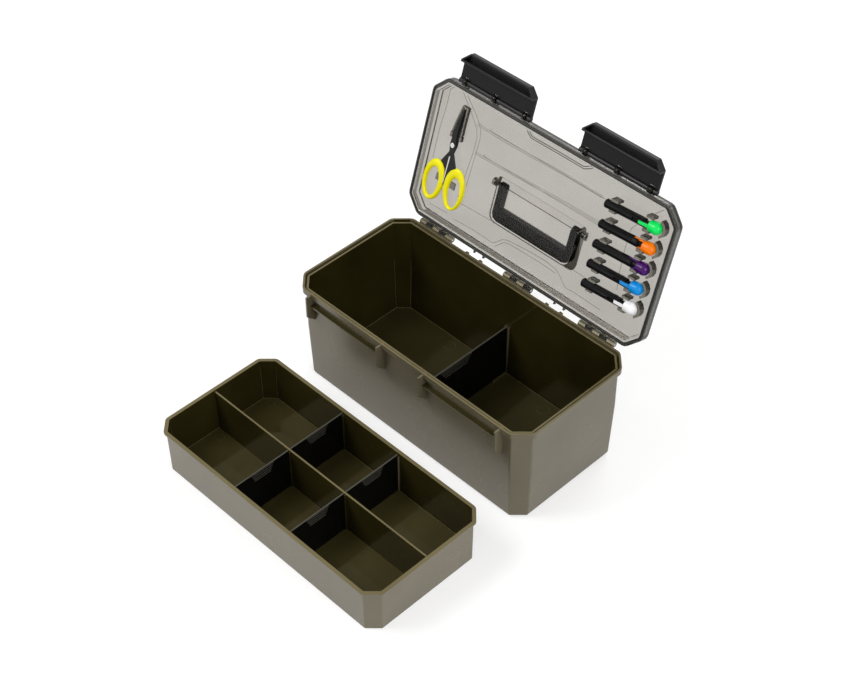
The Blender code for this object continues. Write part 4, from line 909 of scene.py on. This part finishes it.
# Colour of each knob, and how far its tool is rolled in the clips, in degrees.
KNOBS = (
    ((0.0, 0.8, 0.12), 90),
    ((1.0, 0.2, 0.0), 0),
    ((0.05, 0.002, 0.11), 0),
    ((0.0, 0.26, 0.7), 90),
    ((0.95, 0.94, 0.95), 90),
)
for number, (colour, roll) in enumerate(KNOBS, 1):
    tool = f"tool_{number}"
    place = (
        LID_TURN
        @ Matrix.Translation(TOOL_NOSE + Vector((0, (number - 1) * TOOL_PITCH, 0)))
        @ Matrix.Rotation(TOOL_TILT, 4, "Z")
        @ Matrix.Rotation(math.radians(roll), 4, "X")
    )
    barrel = rounded_copy(f"{tool}_barrel", tool, BARREL_EDGE)
    cutter = flute(tool, place)
    only(barrel)
    grooves = barrel.modifiers.new("flutes", "BOOLEAN")
    grooves.operation = "DIFFERENCE"
    grooves.solver = "EXACT"
    grooves.object = cutter
    bpy.ops.object.modifier_apply(modifier=grooves.name)
    bpy.data.objects.remove(cutter)
    refinish(barrel, black_plastic)

    knob = lathe(f"{tool}_knob_moulded", KNOB_OUTLINE, place, KNOB_SIDES)
    parts = [
        pad(
            f"{tool}_tongue_{side + 2}",
            (TONGUE_ENDS[0], min(side * SOCKET_RADIUS, side * BARREL_RADIUS), -TONGUE_HALF),
            (TONGUE_ENDS[1], max(side * SOCKET_RADIUS, side * BARREL_RADIUS), TONGUE_HALF),
            place,
            TONGUE_EDGE,
        )
        for side in (-1, 1)
    ]
    if roll:
        button = pad(
            f"{tool}_button",
            (BUTTON_ENDS[0], -BARREL_RADIUS - BUTTON_RAISE, -BUTTON_HALF),
            (BUTTON_ENDS[1], -BARREL_RADIUS + BUTTON_RAISE, BUTTON_HALF),
            place,
            BUTTON_EDGE,
        )
        parts.append(button)
    knob = joined(knob, *parts)
    knob_plastic = plastic(f"knob_{number}_plastic", colour, roughness=0.2, vary=0.03, shine=0.25)
    knob.data.materials.append(knob_plastic)
    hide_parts(f"{tool}_knob")
    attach(knob, f"{tool}_plunger")
    refinish(frame["nodes"][f"{tool}_needle"], pin_steel)

# Scissors
# Black-coated steel blades that turn on a bright rivet, with yellow plastic finger rings.
# The rings are moulded on to the blades' tangs, and the blades sit in the lid's holster.
BLADE_COLOUR = (0.02, 0.02, 0.02)
RING_COLOUR = (0.92, 0.84, 0.0)
SCISSORS_X = -0.1307
SCISSORS_Y = -0.0123
SCISSORS_RISE = 0.0069
SCISSORS_TURN = math.radians(181.5)
SCISSORS_PLACE = (
    LID_TURN
    @ Matrix.Translation((SCISSORS_X, SCISSORS_Y, LID_FACE + SCISSORS_RISE))
    @ Matrix.Rotation(SCISSORS_TURN, 4, "Z")
)
BLADE_EDGE = 0.0002
RIVET_EDGE = 0.0003
RING_X = 0.0157
RING_Y = -0.0492
RING_STAGGER = 0.0015
RING_TILT = math.radians(2)
RING_OUTLINE = (0.0148, 0.0254)
RING_HOLE = (0.0086, 0.0178)
RING_HALF_HEIGHT = 0.0028
RING_STEPS = 72
RING_SMOOTH_DEGREES = 80
TUBE_STEPS = 18
HOLE_SHIFT = 0.0006
TANG_DEGREES = 35
BULGE_POWER = 3
# Side of each ring, how far it swells at the tang, and how far its hole lies below its middle.
RINGS = {"left": (1, 0.11, -0.0026), "right": (-1, 0.05, -0.0042)}
blade_steel = plastic("blade_steel", BLADE_COLOUR, roughness=0.32, shine=0.12)
ring_plastic = plastic("ring_plastic", RING_COLOUR, roughness=0.3, vary=0.03, shine=0.3)


def finger_ring(name, side, bulge, drop):
    """Oval ring with a round section and a low hole, swollen where the blade's tang enters it."""
    place = (
        SCISSORS_PLACE
        @ Matrix.Translation((side * RING_X, RING_Y - side * RING_STAGGER, 0))
        @ Matrix.Rotation(side * RING_TILT, 4, "Z")
    )
    tang = math.radians(90 + side * TANG_DEGREES)
    vertices = []
    for step in range(RING_STEPS):
        angle = 2 * math.pi * step / RING_STEPS
        grown = 1 + bulge * max(0, math.cos(angle - tang)) ** BULGE_POWER
        ray = Vector((math.cos(angle), math.sin(angle), 0))
        outer = Vector((RING_OUTLINE[0] * grown * ray.x, RING_OUTLINE[1] * ray.y, 0))
        hole = Vector((RING_HOLE[0] * ray.x + side * HOLE_SHIFT, RING_HOLE[1] * ray.y + drop, 0))
        for part in range(TUBE_STEPS):
            turn = 2 * math.pi * part / TUBE_STEPS
            point = (outer + hole) / 2 + (outer - hole) / 2 * math.cos(turn)
            point.z = RING_HALF_HEIGHT * math.sin(turn)
            vertices.append(place @ point)
    faces = []
    for step in range(RING_STEPS):
        near = step * TUBE_STEPS
        far = (step + 1) % RING_STEPS * TUBE_STEPS
        for part in range(TUBE_STEPS):
            after = (part + 1) % TUBE_STEPS
            faces.append((near + part, near + after, far + after, far + part))
    return shape(name, vertices, faces, RING_SMOOTH_DEGREES)


for side, body in (("left", "scissors"), ("right", "scissors_arm")):
    blade = rounded_copy(f"scissors_blade_{side}", body, BLADE_EDGE)
    blade.data.materials.append(blade_steel)
    ring = finger_ring(f"scissors_grip_{side}_moulded", *RINGS[side])
    ring.data.materials.append(ring_plastic)
    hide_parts(f"scissors_grip_{side}")
    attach(ring, body)

STRIP_ENDS = (-0.014, -0.047)
STRIP_HALF_WIDTHS = (0.0008, 0.0004)
STRIP_HEIGHTS = (0.0002, 0.0021)
strip_corners = [
    SCISSORS_PLACE @ Vector((edge * half, y, -height))
    for y, half in zip(STRIP_ENDS, STRIP_HALF_WIDTHS)
    for edge in (-1, 1)
    for height in STRIP_HEIGHTS
]
strip = shape("scissors_strip", strip_corners, BLOCK_FACES)
strip.data.materials.append(pin_steel)
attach(strip, "scissors")
rivet = rounded_copy("scissors_rivet", "scissors", RIVET_EDGE)
rivet.data.materials.append(pin_steel)
